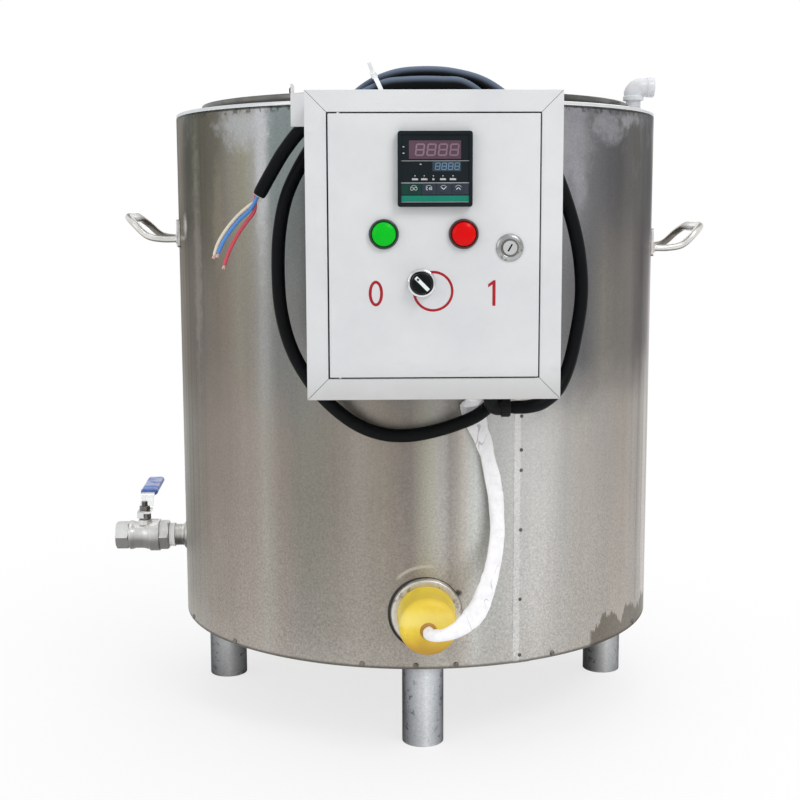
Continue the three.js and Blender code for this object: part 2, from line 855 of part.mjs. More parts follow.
// Heater socket, with the ring that covers the hole in the shell
const socketEnd = tankRadius + socketReach;
const socketStartDepth = jacketInner - socketInside;
const escutcheon = facingFront(turned([
  [0, 0],
  [escutcheonRadius, 0],
  [escutcheonRadius, tankRadius + escutcheonReach / 2],
  [escutcheonRadius - escutcheonReach / 2, tankRadius + escutcheonReach],
  [0, tankRadius + escutcheonReach],
]), heaterShift, 0, heaterHeight);
const socketTube = facingFront(disc(socketRadius, socketStartDepth, socketEnd, dialFacets),
  heaterShift, 0, heaterHeight);
const socketBore = facingFront(disc(socketRadius - socketWall, 0, socketEnd + overrun, dialFacets),
  heaterShift, 0, heaterHeight);
addPart('heater_socket', cut(joined(cut(escutcheon, tankCutter), socketTube), socketBore), zincSteel);

// Screwed-in heater flange with a hexagon, terminals and three bent rods
const plugRadiusInside = socketRadius - socketWall - clearance;
const hexStart = socketEnd + clearance;
const hexEnd = hexStart + heaterHexLength;
const terminalPlaces = [0, 1, 2].map((i) => disc(terminalRadius, hexEnd - overrun, hexEnd + terminalLength,
  smallFacets)
  .translate(0, rodSpread, 0).rotateZ((2 * Math.PI * i) / 3));
const flangeShape = joined(
  disc(plugRadiusInside, socketStartDepth, hexStart + overrun, dialFacets),
  hexagon(heaterHexRadius, hexStart, hexEnd),
  ...terminalPlaces,
);

const bendSteps = 6;
function heaterRod(spread, level) {
  const start = -(socketStartDepth + overrun);
  const turn = start + rodLength - spread;
  const places = [new THREE.Vector3(-spread, start, level)];
  for (let i = 0; i <= bendSteps; i += 1) {
    const angle = (Math.PI * i) / bendSteps;
    places.push(new THREE.Vector3(-spread * Math.cos(angle), turn + spread * Math.sin(angle), level));
  }
  places.push(new THREE.Vector3(spread, start, level));
  return swept(places, roundSection(rodRadius, smallFacets));
}
const outerRodShare = 0.75;
const rods = [-1, 0, 1].map((i) => heaterRod(i === 0 ? rodSpread : rodSpread * outerRodShare, i * rodPitch));
const element = joined(facingFront(flangeShape, 0, 0, 0), ...rods);
addPart('heater_element', element.translate(heaterShift, 0, heaterHeight), steel);

// Terminal cap over the hexagon, with a hole for the lead
const capStart = tankRadius + escutcheonReach + clearance;
const capFront = capStart + capLength;
const capOutline = [[capRadius - capWall, capStart], [capRadius, capStart]];
const capInside = [];
const capSteps = 4;
for (let i = 0; i <= capSteps; i += 1) {
  const angle = (quarterTurn * i) / capSteps;
  const reach = capRadius - capRounding + capRounding * Math.cos(angle);
  const depth = capFront - capRounding + capRounding * Math.sin(angle);
  capOutline.push([reach, depth]);
  const inward = capRounding - capWall;
  capInside.unshift([
    capRadius - capRounding + inward * Math.cos(angle),
    capFront - capRounding + inward * Math.sin(angle),
  ]);
}
const capShape = turned([
  [0, capFront - capWall],
  ...capInside,
  ...capOutline,
  [0, capFront],
]);
const leadHole = disc(leadRadius + clearance, capFront - capRounding, capFront + overrun)
  .translate(0, -capHoleDrop, 0);
addPart('heater_cap', facingFront(cut(capShape, leadHole), heaterShift, 0, heaterHeight), yellowRubber);

// Water inlet: a stub through the top ring and an elbow that points to the right
const stubHigh = ringTop + inletRise;
const elbowHeight = ringTop + elbowRise;
addPart('inlet_stub', pipe(inletRadius, inletRadius - inletWall, shellTop - inletDepth, stubHigh)
  .translate(inletX, inletY, 0), whitePlastic);
const elbowBase = stubHigh - elbowSocketDepth;
const elbowShape = joined(
  disc(elbowRadius, elbowBase, elbowHeight),
  new THREE.SphereGeometry(elbowRadius, pipeFacets, hexSides).rotateX(quarterTurn)
    .translate(0, 0, elbowHeight),
  disc(elbowRadius, 0, elbowReach).rotateY(quarterTurn).translate(0, 0, elbowHeight),
);
const elbowBore = inletRadius - inletWall;
addPart('inlet_elbow', cut(
  elbowShape,
  disc(inletRadius + clearance, elbowBase - overrun, stubHigh + clearance),
  disc(elbowBore, stubHigh, elbowHeight + elbowBore),
  disc(elbowBore, 0, elbowReach + overrun).rotateY(quarterTurn).translate(0, 0, elbowHeight),
  disc(inletRadius, elbowReach - elbowSocketDepth, elbowReach + overrun).rotateY(quarterTurn)
    .translate(0, 0, elbowHeight),
).translate(inletX, inletY, 0), whitePlastic);

// Box shell: a sheet wrap with a front frame whose opening has a turned-in lip, and a back let in behind
const boxMidDepth = (boxFront + boxBack) / 2;
const boxOuter = block(boxWidth, boxDepth, boxHeight, boxShift, boxMidDepth, boxMiddle);
const boxHollow = block(boxWidth - boxSheet * 2, boxDepth, boxHeight - boxSheet * 2,
  boxShift, boxMidDepth + boxSheet, boxMiddle);
const opening = (extra, depth) => block(openingWidth + extra, depth, openingHeight + extra,
  boxShift, boxFront + depth / 2, boxMiddle);
const lipOuter = opening(frameLipSheet * 2, frameLipDepth);
const openingCut = opening(0, frameLipDepth * 2).translate(0, -frameLipDepth / 2, 0);
const leadGlandX = boxShift + leadGlandShift;
const cordGlandX = boxShift + glandShift;
const glandY = boxBack - glandInset;
const leadGlandY = boxBack - leadGlandInset;
const bottomHole = (radius, x, y) => disc(radius, boxBottom - overrun, boxBottom + boxSheet + overrun)
  .translate(x, y, 0);
const hingeX = doorLeft + hingeInset;
const hingeY = doorFront + hingeDepth;
const hingeLine = (radius, length) => disc(radius, boxMiddle - length / 2, boxMiddle + length / 2,
  smallFacets).translate(hingeX, hingeY, 0);
const hingeLength = openingHeight + hingeOverhang * 2;
const hingeHoles = hingeLine(hingeRadius + clearance, hingeLength + clearance * 2);
addPart('box_shell', cut(
  joined(cut(boxOuter, boxHollow), lipOuter),
  openingCut,
  hingeHoles,
  bottomHole(glandRadius + clearance, cordGlandX, glandY),
  bottomHole(leadGlandRadius + clearance, leadGlandX, leadGlandY),
), paint);
const backInset = (boxSheet + clearance) * 2;
addPart('box_back', block(boxWidth - backInset, boxSheet, boxHeight - backInset,
  boxShift, boxBack - boxSheet / 2, boxMiddle), paint);

// Upper bracket: a middle hanger that the cord rests on, and two hooks over the top ring
const bracketBase = ringTop + clearance;
const bracketTop = bracketBase + bracketSheet;
const legFace = boxBack + clearance;
function hanger(width, x) {
  const edge = Math.sqrt(tankRadius ** 2 - Math.max(Math.abs(x), width / 2) ** 2);
  const reach = -edge + bracketBearing - legFace;
  const top = block(width, reach, bracketSheet, x, legFace + reach / 2, bracketBase + bracketSheet / 2);
  const drop = bracketLegDrop + bracketTop - boxTop;
  const leg = block(width, bracketSheet, drop, x, legFace + bracketSheet / 2, bracketTop - drop / 2);
  return joined(top, leg);
}
const hookX = boxWidth / 2 - hookOverlap + hookWidth / 2;
const leftHook = hanger(hookWidth, boxShift - hookX);
const rightHook = hanger(hookOverlap * 2, boxShift + boxWidth / 2 - hookOverlap - hookOverlap / 2);
const tab = block(bracketSheet, bracketBearing, hookTabRise + bracketSheet,
  boxShift - hookX - hookWidth / 2 + bracketSheet / 2,
  legFace + bracketBearing / 2 + bracketSheet,
  bracketBase + (hookTabRise + bracketSheet) / 2);
const stripWidth = hookX + hookWidth / 2 + boxWidth / 2 - hookOverlap;
const strip = block(stripWidth, bracketSheet, bracketLegDrop - bracketSheet,
  boxShift + boxWidth / 2 - hookOverlap - stripWidth / 2, legFace + bracketSheet / 2,
  boxTop - bracketLegDrop / 2 - bracketSheet / 2);
addPart('upper_bracket', joined(hanger(hangerWidth, 0), leftHook, rightHook, tab, strip), paint);

// Lower stand-off: a channel between the box and the curved shell
const standMiddle = boxBottom + standRise + standHeight / 2;
const standDepth = boxStandOff * 2;
const standOuter = block(standWidth, standDepth, standHeight, 0, legFace + standDepth / 2, standMiddle);
const standHollow = block(standWidth - standSheet * 2, standDepth, standHeight + overrun,
  0, legFace + standSheet + standDepth / 2, standMiddle);
addPart('lower_bracket', cut(standOuter, standHollow, tankCutter), paint);

// Mounting plate on four posts, with the contactor and the row of terminals
const plateBack = boxBack - boxSheet - clearance;
const plateFront = plateBack - plateStandOff - plateSheet;
const plateWidth = boxWidth - plateInset * 2;
const plateHeight = boxHeight - plateInset * 2;
const plate = block(plateWidth, plateSheet, plateHeight, boxShift, plateFront + plateSheet / 2, boxMiddle);
const posts = [];
for (const side of [-1, 1]) {
  for (const end of [-1, 1]) {
    const post = disc(postRadius, 0, plateStandOff + plateSheet / 2, smallFacets);
    posts.push(facingFront(post, boxShift + side * (plateWidth / 2 - postRadius * 2), plateBack,
      boxMiddle + end * (plateHeight / 2 - postRadius * 2)));
  }
}
addPart('mounting_plate', joined(plate, ...posts), zincSteel);

const onPlate = plateFront - clearance;
const contactorX = boxShift - plateWidth / 4;
const contactorZ = boxMiddle - plateHeight / 4;
const contactor = joined(
  block(contactorWidth, contactorDepth, contactorHeight - contactorStep * 2, contactorX,
    onPlate - contactorDepth / 2, contactorZ),
  block(contactorWidth, contactorDepth - contactorStep, contactorHeight, contactorX,
    onPlate - (contactorDepth - contactorStep) / 2, contactorZ),
);
addPart('contactor', contactor, creamPlastic);
const blockX = boxShift + plateWidth / 4 - blockHeight / 4;
const blockZ = contactorZ + contactorHeight / 2 - blockHeight / 2;
const grooves = [];
for (let i = 1; i < blockCount; i += 1) {
  grooves.push(block(blockGroove, blockDepth, blockHeight + overrun,
    blockX - blockWidth / 2 + (blockWidth * i) / blockCount, onPlate - blockDepth, blockZ));
}
const terminalRow = block(blockWidth, blockDepth, blockHeight, blockX, onPlate - blockDepth / 2, blockZ);
addPart('terminal_block', cut(terminalRow, ...grooves), greyPlastic);

// Hinge rod, which runs behind the door and crosses its flange and the lip of the frame at both ends
addPart('hinge_rod', hingeLine(hingeRadius, hingeLength), steel);

// Door: a tray of sheet with cut-outs for the controller, lamps, selector and lock
const doorMidDepth = doorFront + doorFlange / 2;
const doorOuter = block(doorWidth, doorFlange, doorHeight, boxShift, doorMidDepth, boxMiddle);
const doorHollow = block(doorWidth - doorSheet * 2, doorFlange, doorHeight - doorSheet * 2,
  boxShift, doorMidDepth + doorSheet, boxMiddle);
const controllerX = boxShift + controllerShift;
const controllerZ = boxMiddle + controllerRise;
const greenX = boxShift + lampPlaces.green;
const redX = boxShift + lampPlaces.red;
const lampZ = boxMiddle + lampRise;
const selectorX = boxShift + selectorShift;
const selectorZ = boxMiddle - selectorDrop;
const lockX = doorLeft + doorWidth - lockInset;
const lockZ = boxMiddle - lockDrop;
const doorHole = (radius, x, z) => facingFront(disc(radius + clearance, -doorFlange, doorFlange, dialFacets),
  x, doorFront, z);
addPart('door_panel', cut(
  doorOuter,
  doorHollow,
  block(controllerBody + clearance * 2, doorFlange, controllerBody + clearance * 2,
    controllerX, doorFront, controllerZ),
  doorHole(lampBodyRadius, greenX, lampZ),
  doorHole(lampBodyRadius, redX, lampZ),
  doorHole(lampBodyRadius, selectorX, selectorZ),
  doorHole(lockBodyRadius, lockX, lockZ),
  hingeHoles,
), paint);

// Controller: a case through the door, a front frame with a recess, a window and four keys
const frontFace = doorFront - clearance;
const controllerFace = frontFace - controllerFront;
const recessFloor = controllerFace + controllerRecess;
const caseEnd = frontFace + controllerDepth;
addPart('controller_case', block(controllerBody, controllerDepth - clearance, controllerBody,
  controllerX, (caseEnd + frontFace + clearance) / 2, controllerZ), blackPlastic);
const frontBlock = facingFront(
  extruded(roundedRectangle(controllerSize, controllerSize, controllerRounding), controllerFront),
  controllerX, frontFace, controllerZ);
const recessSize = controllerSize - controllerRim * 2;
const recess = block(recessSize, controllerRecess * 2, recessSize, controllerX, controllerFace, controllerZ);
const keyPlaces = [];
for (let i = 0; i < keyCount; i += 1) {
  keyPlaces.push(controllerX + keyShift + (i - (keyCount - 1) / 2) * keyPitch);
}
const keyZ = controllerZ - keyDrop;
const keyPockets = keyPlaces.map((x) => block(keyWidth + clearance * 2, keyDepth * 2,
  keyHeight + clearance * 2, x, recessFloor, keyZ));
const windowZ = controllerZ + windowRise;
const windowPocket = block(windowWidth + clearance * 2, windowSheet * 2, windowHeight + clearance * 2,
  controllerX, recessFloor, windowZ);
addPart('controller_front', cut(frontBlock, recess, windowPocket, ...keyPockets), blackPlastic);
addPart('display_window', block(windowWidth, windowSheet - clearance, windowHeight,
  controllerX, recessFloor + (windowSheet - clearance) / 2, windowZ), darkWindow);
const keyCornerShare = 0.25;
const keyLength = keyDepth;
keyPlaces.forEach((x, i) => {
  const key = extruded(roundedRectangle(keyWidth, keyHeight, keyHeight * keyCornerShare), keyLength);
  addPart(`key_${i + 1}`, facingFront(key, x, recessFloor + keyLength - keyProud, keyZ), greenPlastic);
});

// Lamps: a holder through the door and a domed lens
function lampHolder(x) {
  const holder = turned([
    [0, -lampDepth],
    [lampBodyRadius, -lampDepth],
    [lampBodyRadius, clearance],
    [lampRimRadius, clearance],
    [lampRimRadius, lampRim - lampRim / 4],
    [lampRimRadius - lampRim / 4, lampRim],
    [lensRadius + clearance, lampRim],
    [lensRadius + clearance, lensBase],
    [0, lensBase],
  ]);
  return facingFront(holder, x, doorFront, lampZ);
}
function lens(x) {
  const base = lensBase + clearance;
  const outline = [[0, base], [lensRadius, base]];
  const steps = 4;
  for (let i = 0; i < steps; i += 1) {
    const angle = (quarterTurn * i) / steps;
    outline.push([lensRadius * Math.cos(angle), lampRim + (lensHeight - lampRim / 2) * Math.sin(angle)]);
  }
  outline.push([0, lampRim + lensHeight - lampRim / 2]);
  return facingFront(turned(outline), x, doorFront, lampZ);
}
addPart('green_lamp_holder', lampHolder(greenX), blackPlastic);
addPart('green_lens', lens(greenX), greenPlastic);
addPart('red_lamp_holder', lampHolder(redX), blackPlastic);
addPart('red_lens', lens(redX), redPlastic);

// Selector: a chromed collar with its contact block, and a knob with a raised pointer
const collar = turned([
  [0, -selectorDepth],
  [lampBodyRadius, -selectorDepth],
  [lampBodyRadius, clearance],
  [selectorRimRadius, clearance],
  [selectorRimRadius, selectorRim / 2],
  [knobRadius + clearance, selectorRim],
  [knobRadius + clearance, selectorRim / 2],
  [selectorBore + clearance, selectorRim / 2],
  [selectorBore + clearance, -selectorRim],
  [0, -selectorRim],
]);
const contactBlock = block(selectorBlock, selectorDepth / 2, selectorBlock,
  0, selectorDepth - selectorDepth / 4, 0);
const selectorBody = joined(
  facingFront(collar, 0, 0, 0),
  contactBlock,
).translate(selectorX, doorFront, selectorZ);
addPart('selector_collar', selectorBody, chrome);
const knobStart = selectorRim / 2 + clearance;
const knobDisc = turned([
  [0, -selectorRim + clearance],
  [selectorBore, -selectorRim + clearance],
  [selectorBore, knobStart],
  [knobRadius, knobStart],
  [knobRadius, knobStart + knobHeight / 2],
  [knobRadius * knobTaperShare, knobStart + knobHeight],
  [0, knobStart + knobHeight],
]);
const pointerCornerShare = 0.3;
const pointerOutline = roundedRectangle(pointerWidth, pointerLength * knobTaperShare,
  pointerWidth * pointerCornerShare);
const pointer = extruded(pointerOutline, pointerHeight).translate(0, 0, knobStart + knobHeight / 2)
  .rotateZ(quarterTurn / 2);
addPart('selector_knob', facingFront(joined(knobDisc, pointer), selectorX, doorFront, selectorZ),
  blackPlastic);

// Lock: a housing through the door, and a plug whose cam swings behind the lip of the frame
const camFront = frameLipDepth + doorProud + camClearance;
const housing = turned([
  [plugRadius + clearance, -camFront + clearance],
  [lockBodyRadius, -camFront + clearance],
  [lockBodyRadius, clearance],
  [lockRimRadius, clearance],
  [lockRimRadius, lockRim / 2],
  [lockRimRadius - lockRim / 2, lockRim],
  [plugRadius + clearance, lockRim],
]);
addPart('lock_housing', facingFront(housing, lockX, doorFront, lockZ), chrome);
const camReach = lockInset + doorGap + camOverlap;
const plug = disc(plugRadius, -camFront - camSheet, lockRim + plugProud, dialFacets);
const slot = block(slotWidth, slotLength, slotDepth * 2, 0, 0, lockRim + plugProud).rotateZ(slotAngle);
const camRound = camWidth / 2;
const camCornerShare = 0.6;
const camPlate = extruded(roundedRectangle(camWidth, camReach + camRound, camRound * camCornerShare),
  camSheet)
  .translate(0, camRound - (camReach + camRound) / 2, -camFront - camSheet);
addPart('lock_plug', facingFront(joined(cut(plug, slot), camPlate), lockX, doorFront, lockZ), steel);

// Right-angled gland of the power cord and gland of the heater lead, both in the floor of the box
const glandLevel = boxBottom - glandDrop;
const insideTop = boxBottom + boxSheet + clearance + lockNutHeight;
const glandBody = joined(
  disc(glandRadius, glandLevel, insideTop),
  new THREE.SphereGeometry(glandRadius, pipeFacets, hexSides).rotateX(quarterTurn)
    .translate(0, 0, glandLevel),
  disc(glandRadius, 0, glandReach).rotateY(quarterTurn).translate(0, 0, glandLevel),
  disc(glandNutRadius, glandReach - glandNutLength, glandReach).rotateY(quarterTurn)
    .translate(0, 0, glandLevel),
  hexagon(glandNutRadius, boxBottom + boxSheet + clearance, insideTop),
);
const glandFlange = disc(glandNutRadius, boxBottom - clearance - leadGlandRim, boxBottom - clearance);
addPart('cord_gland', joined(glandBody, glandFlange).translate(cordGlandX, glandY, 0), blackPlastic);
const leadGlandOuter = turned([
  [leadRadius + leadRoom, boxBottom - clearance - leadGlandRim],
  [leadGlandRadius + leadGlandRim, boxBottom - clearance - leadGlandRim],
  [leadGlandRadius + leadGlandRim, boxBottom - clearance],
  [leadGlandRadius, boxBottom - clearance],
  [leadGlandRadius, insideTop - lockNutHeight],
  [leadGlandRadius + leadGlandRim, insideTop - lockNutHeight],
  [leadGlandRadius + leadGlandRim, insideTop],
  [leadRadius + leadRoom, insideTop],
], pipeFacets);
addPart('lead_gland', leadGlandOuter.translate(leadGlandX, leadGlandY, 0), blackRubber);

// Heater lead in its wrapped sleeve: out of the cap, up the shell, behind the cord and into the box.
// It is measured from the hole of the cap, then from the shell, then from its gland.
const leadFromCap = [
  [0, -18.3, 0],
  [0, -0.3, 0],
  [1, 11.7, 0],
  [10, 19.7, 1],
  [24, 17.7, 3],
  [40, 4.7, 8],
  [54, -15.3, 20],
];
const leadOnShell = [
  { across: 64, off: 32.3, heightShare: 0.153 },
  { across: 71, off: 20.5, heightShare: 0.26 },
  { across: 74, off: 12.8, heightShare: 0.374 },
  { across: 74, off: 9, heightShare: 0.511 },
  { across: 69, off: 7.9, heightShare: 0.656 },
  { across: 62, off: 7.6, heightShare: 0.771 },
  { across: 58, off: 7.4, heightShare: 0.84 },
  { across: 55, off: 7.7, heightShare: 0.893 },
];
const leadAtGland = [
  [7, 31.3, -16.5],
  [4, 20.3, -11.5],
  [1.5, 8.8, -8.7],
  [0.2, 1.6, -3],
  [0, 0, 5],
  [0, 0, 11],
];
const leadHoleHeight = heaterHeight - capHoleDrop;
const leadRise = boxBottom - leadHoleHeight;
const leadRoute = [
  ...leadFromCap.map(([across, out, rise]) => [heaterShift + across, -capFront - out, leadHoleHeight + rise]),
  ...leadOnShell.map(({ across, off, heightShare }) => [
    heaterShift + across,
    -Math.sqrt(tankRadius ** 2 - (heaterShift + across) ** 2) - off,
    leadHoleHeight + leadRise * heightShare,
  ]),
  ...leadAtGland.map(([across, back, rise]) => [leadGlandX + across, leadGlandY + back, boxBottom + rise]),
];
addPart('heater_lead', swept(smoothPlaces(leadRoute, leadSteps), roundSection(leadRadius, leadFacets)),
  glassSleeve);

// Power cord: right from the gland, up behind the box, over the hanger, down on the left, along
// the bottom, up behind the box once more, over the hanger and down to its cut end on the left
const cordRoute = [
  [90.3, -339, 403.5],
  [98, -339, 403.5],
  [108, -338, 403.7],
  [125, -331, 407],
  [143, -320, 420],
  [155, -312, 443],
  [164, -308, 480],
  [169, -306, 516],
  [168, -306, 550],
  [162, -308, 584],
  [151, -311, 620],
  [136, -313, 656],
  [115, -312, 692],
  [90, -306, 724],
  [62, -301, 744],
  [30, -300, 753],
  [0, -300, 755],
  [-30, -300, 752],
  [-57, -300.4, 741],
  [-85, -300, 718],
  [-110, -299, 691],
  [-131, -299, 660],
  [-147, -300, 626],
  [-155, -300, 588],
  [-157, -300, 545],
  [-154, -300, 502],
  [-143, -301, 462],
  [-122, -303, 425],
  [-97, -305, 398],
  [-70, -307, 379],
  [-43, -308.6, 370],
  [-16, -309.5, 369],
  [11, -311, 374],
  [36, -315.5, 382.5],
  [56, -317.4, 391.5],
  [74, -312, 405.5],
  [91, -304, 427],
  [106, -301, 458],
  [115, -300, 500],
  [118, -299, 545],
  [115, -298, 590],
  [107, -298, 634],
  [94, -299, 674],
  [77, -307, 704],
  [58, -314, 729],
  [38, -315.3, 741.4],
  [18, -315.5, 743],
  [0, -315.5, 743.4],
  [-20, -315.5, 742.8],
  [-40, -315.5, 740.6],
  [-62, -315.6, 731],
  [-85, -315.6, 720],
  [-108, -315.5, 709.5],
  [-128, -315, 697],
  [-147, -312, 675],
  [-163, -307, 650],
  [-176, -301, 628],
];
const cordPlaces = smoothPlaces(cordRoute, cordSteps);
addPart('power_cord', swept(cordPlaces, roundSection(cordRadius, cordFacets)), blackRubber);

// The least gap between stretches of the cord that lie more than four diameters apart along it
const fine = smoothPlaces(cordRoute, cordSteps * 6);
const fineStep = fine[2].distanceTo(fine[3]);
const apartShare = 8;
const apart = Math.ceil((cordRadius * apartShare) / fineStep);
let leastGap = Infinity;
let gapSpot = null;
for (let i = 0; i < fine.length; i += 1) {
  for (let j = i + apart; j < fine.length; j += 1) {
    const gapHere = fine[i].distanceTo(fine[j]) - cordRadius * 2;
    if (gapHere < leastGap) {
      leastGap = gapHere;
      gapSpot = fine[i];
    }
  }
}
const cordLength = fineStep * cordSteps * 6;
console.log(`cord length ${cordLength.toFixed(0)} mm, least gap to itself ${leastGap.toFixed(2)} mm`,
  gapSpot.toArray().map((value) => value.toFixed(0)).join(' '));

// Three bare-ended conductors that fan out of the cut end
const cordEnd = cordPlaces[cordPlaces.length - 1];
const cordWay = cordEnd.clone().sub(cordPlaces[cordPlaces.length - 2]).normalize();
const conductorEnds = [[-46, 2, -66], [-52, -4, -60], [-38, -6, -80]];
const conductorPitchShare = 1.4;
const conductorPitch = conductorRadius * conductorPitchShare;
const upright = new THREE.Quaternion().setFromUnitVectors(new THREE.Vector3(0, 0, 1), cordWay);
const conductors = conductorEnds.map((reach, i) => {
  const angle = (2 * Math.PI * (i + 0.5)) / conductorEnds.length;
  const offset = new THREE.Vector3(Math.cos(angle), Math.sin(angle), 0).multiplyScalar(conductorPitch);
  const start = cordEnd.clone().addScaledVector(cordWay, clearance + conductorRadius)
    .add(offset.applyQuaternion(upright));
  const end = cordEnd.clone().add(new THREE.Vector3(...reach));
  const middle = start.clone().lerp(end, 0.5).addScaledVector(cordWay, conductorRadius * 3);
  const route = [start, start.clone().addScaledVector(cordWay, conductorRadius * 6), middle, end];
  const places = smoothPlaces(route.map((place) => place.toArray()), conductorSteps);
  return swept(places, roundSection(conductorRadius, conductorFacets));
});
const core = disc(cordRadius - conductorRadius, 0, conductorRadius * 2, conductorFacets);
core.applyQuaternion(upright);
core.translate(...cordEnd.clone().addScaledVector(cordWay, clearance).toArray());
addPart('cord_conductors', joined(core, ...conductors), whitePlastic);

// Cable tie round both strands on the left of the hanger, with its head and cut tail
const tieShare = -0.66;
const tieX = hangerWidth * tieShare;
const cordHeights = fine.map((place) => place.z);
const cordMiddle = (Math.min(...cordHeights) + Math.max(...cordHeights)) / 2;
const overHanger = fine.filter((place) => place.z > cordMiddle);
const crossings = [];
for (let i = 1; i < overHanger.length; i += 1) {
  const [before, after] = [overHanger[i - 1], overHanger[i]];
  if (before.x > tieX && after.x <= tieX) crossings.push({ place: after, way: after.clone().sub(before) });
}
const [outerStrand, innerStrand] = crossings;
const tieWay = outerStrand.way.clone().add(innerStrand.way).normalize();
const pairWay = innerStrand.place.clone().sub(outerStrand.place);
const tieApart = pairWay.addScaledVector(tieWay, -pairWay.dot(tieWay)).length();
pairWay.normalize();
const tieInner = cordRadius + tieRoom;
const tieOuter = tieInner + tieSheet;
const roundEndShare = 0.98;
const loop = roundedRectangle(tieApart + tieOuter * 2, tieOuter * 2, tieOuter * roundEndShare);
loop.holes.push(roundedRectangle(tieApart + tieInner * 2, tieInner * 2, tieInner * roundEndShare));
const tieRing = extruded(loop, tieWidth).translate(0, 0, -tieWidth / 2);
const [tieHeadShare, tieTailShare] = [1.4, 0.8];
const tieHeadBlock = block(tieHead, tieHead, tieWidth * tieHeadShare,
  0, tieOuter + tieHead / 2 - tieSheet / 2, 0);
const tieTailBlock = block(tieSheet, tieTail, tieWidth * tieTailShare, 0, tieOuter + tieTail / 2, 0);
const tieUp = tieWay.clone().cross(pairWay);
const tieMiddle = outerStrand.place.clone().add(innerStrand.place).multiplyScalar(0.5);
const tieFrame = new THREE.Matrix4().makeBasis(pairWay, tieUp, tieWay).setPosition(tieMiddle);
const tie = joined(tieRing, tieHeadBlock, tieTailBlock).applyMatrix4(tieFrame);
addPart('cable_tie', tie, whitePlastic);

// Stand the tank in the middle of its own box on the floor, without the cord
const cordPieces = ['power_cord', 'cord_conductors', 'cable_tie'];
const bounds = new THREE.Box3();
for (const mesh of group.children) {
  mesh.geometry.computeBoundingBox();
  if (!cordPieces.includes(mesh.name)) bounds.union(mesh.geometry.boundingBox);
}
const middleOfBox = bounds.getCenter(new THREE.Vector3());
for (const mesh of group.children) {
  mesh.geometry.translate(-middleOfBox.x, -middleOfBox.y, -bounds.min.z);
}

export default group;
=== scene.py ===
import bpy
import bmesh
from math import asin, atan2, cos, degrees, exp, hypot, pi, radians, sin, sqrt
import random
from mathutils import Matrix, Vector
from mathutils.geometry import tessellate_polygon


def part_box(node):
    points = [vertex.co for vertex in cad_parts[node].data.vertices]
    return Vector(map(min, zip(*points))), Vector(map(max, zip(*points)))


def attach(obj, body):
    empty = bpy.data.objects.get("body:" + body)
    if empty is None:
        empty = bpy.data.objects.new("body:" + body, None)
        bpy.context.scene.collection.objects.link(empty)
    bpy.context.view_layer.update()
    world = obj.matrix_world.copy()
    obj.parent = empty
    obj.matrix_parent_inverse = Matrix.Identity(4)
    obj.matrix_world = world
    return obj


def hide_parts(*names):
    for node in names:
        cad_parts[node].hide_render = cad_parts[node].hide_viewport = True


# Dresses the water-jacketed melting tank: brushed shell, painted control box, wound cord,
# drain valve and heater. Shapes are drawn in millimetres from the middle of the tank's floor.

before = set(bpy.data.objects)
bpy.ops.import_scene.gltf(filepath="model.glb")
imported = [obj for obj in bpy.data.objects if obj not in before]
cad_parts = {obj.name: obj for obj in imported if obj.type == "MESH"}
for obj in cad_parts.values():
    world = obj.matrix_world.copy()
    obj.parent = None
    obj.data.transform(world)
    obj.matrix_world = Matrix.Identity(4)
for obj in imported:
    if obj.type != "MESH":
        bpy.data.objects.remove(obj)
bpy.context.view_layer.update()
shellLow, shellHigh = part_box("outer_shell")
tankMiddle = ((shellLow.x + shellHigh.x) / 2, (shellLow.y + shellHigh.y) / 2)
random.seed(7)
print("frame loaded")


def onTank(x, y, z):
    return Vector((tankMiddle[0] + x / 1000, tankMiddle[1] + y / 1000, z / 1000))


# Camera and room

cameraView = {
    "place": (-60.5, -1786.2, 610.5),
    "lens": 61.95,
    "tiltDown": 7.81,
    "turnRight": 1.309,
    "roll": 0.176,
}

cameraData = bpy.data.cameras.new("photoCamera")
cameraData.lens = cameraView["lens"]
cameraData.sensor_width = 36
camera = bpy.data.objects.new("photoCamera", cameraData)
bpy.context.scene.collection.objects.link(camera)
camera.location = onTank(*cameraView["place"])
camera.rotation_mode = "QUATERNION"
turn = Matrix.Rotation(radians(-cameraView["turnRight"]), 3, "Z")
tilt = Matrix.Rotation(radians(90 - cameraView["tiltDown"]), 3, "X")
roll = Matrix.Rotation(radians(-cameraView["roll"]), 3, "Z")
camera.rotation_quaternion = (turn @ tilt @ roll).to_quaternion()
bpy.context.scene.camera = camera
bpy.context.scene.view_settings.view_transform = "Standard"


# Small tools for node trees

plain = (1, 1, 1)


def addStep(tree, kind, sockets=None, **settings):
    step = tree.nodes.new("ShaderNode" + kind)
    for key, value in settings.items():
        setattr(step, key, value)
    for key, value in (sockets or {}).items():
        target = step.inputs[key]
        if isinstance(value, bpy.types.NodeSocket):
            tree.links.new(value, target)
        else:
            target.default_value = value
    return step


def treeOf(*values):
    # The tree of the first socket among the values
    return next(value.id_data for value in values if isinstance(value, bpy.types.NodeSocket))


def sums(operation, a, b=0.0):
    return addStep(treeOf(a, b), "Math", {0: a, 1: b}, operation=operation).outputs[0]


def times(first, *others):
    for other in others:
        first = sums("MULTIPLY", first, other)
    return first


def vectors(operation, a, b=(0, 0, 0)):
    step = addStep(treeOf(a), "VectorMath", {0: a, 1: b}, operation=operation)
    return step.outputs["Value" if operation in ("LENGTH", "DISTANCE") else 0]


def parted(coords):
    return addStep(treeOf(coords), "SeparateXYZ", {0: coords}).outputs


def joined(across, deep, height):
    return addStep(treeOf(across), "CombineXYZ", {0: across, 1: deep, 2: height}).outputs[0]


def fromTank(coords):
    return vectors("SUBTRACT", coords, (tankMiddle[0], tankMiddle[1], 0))


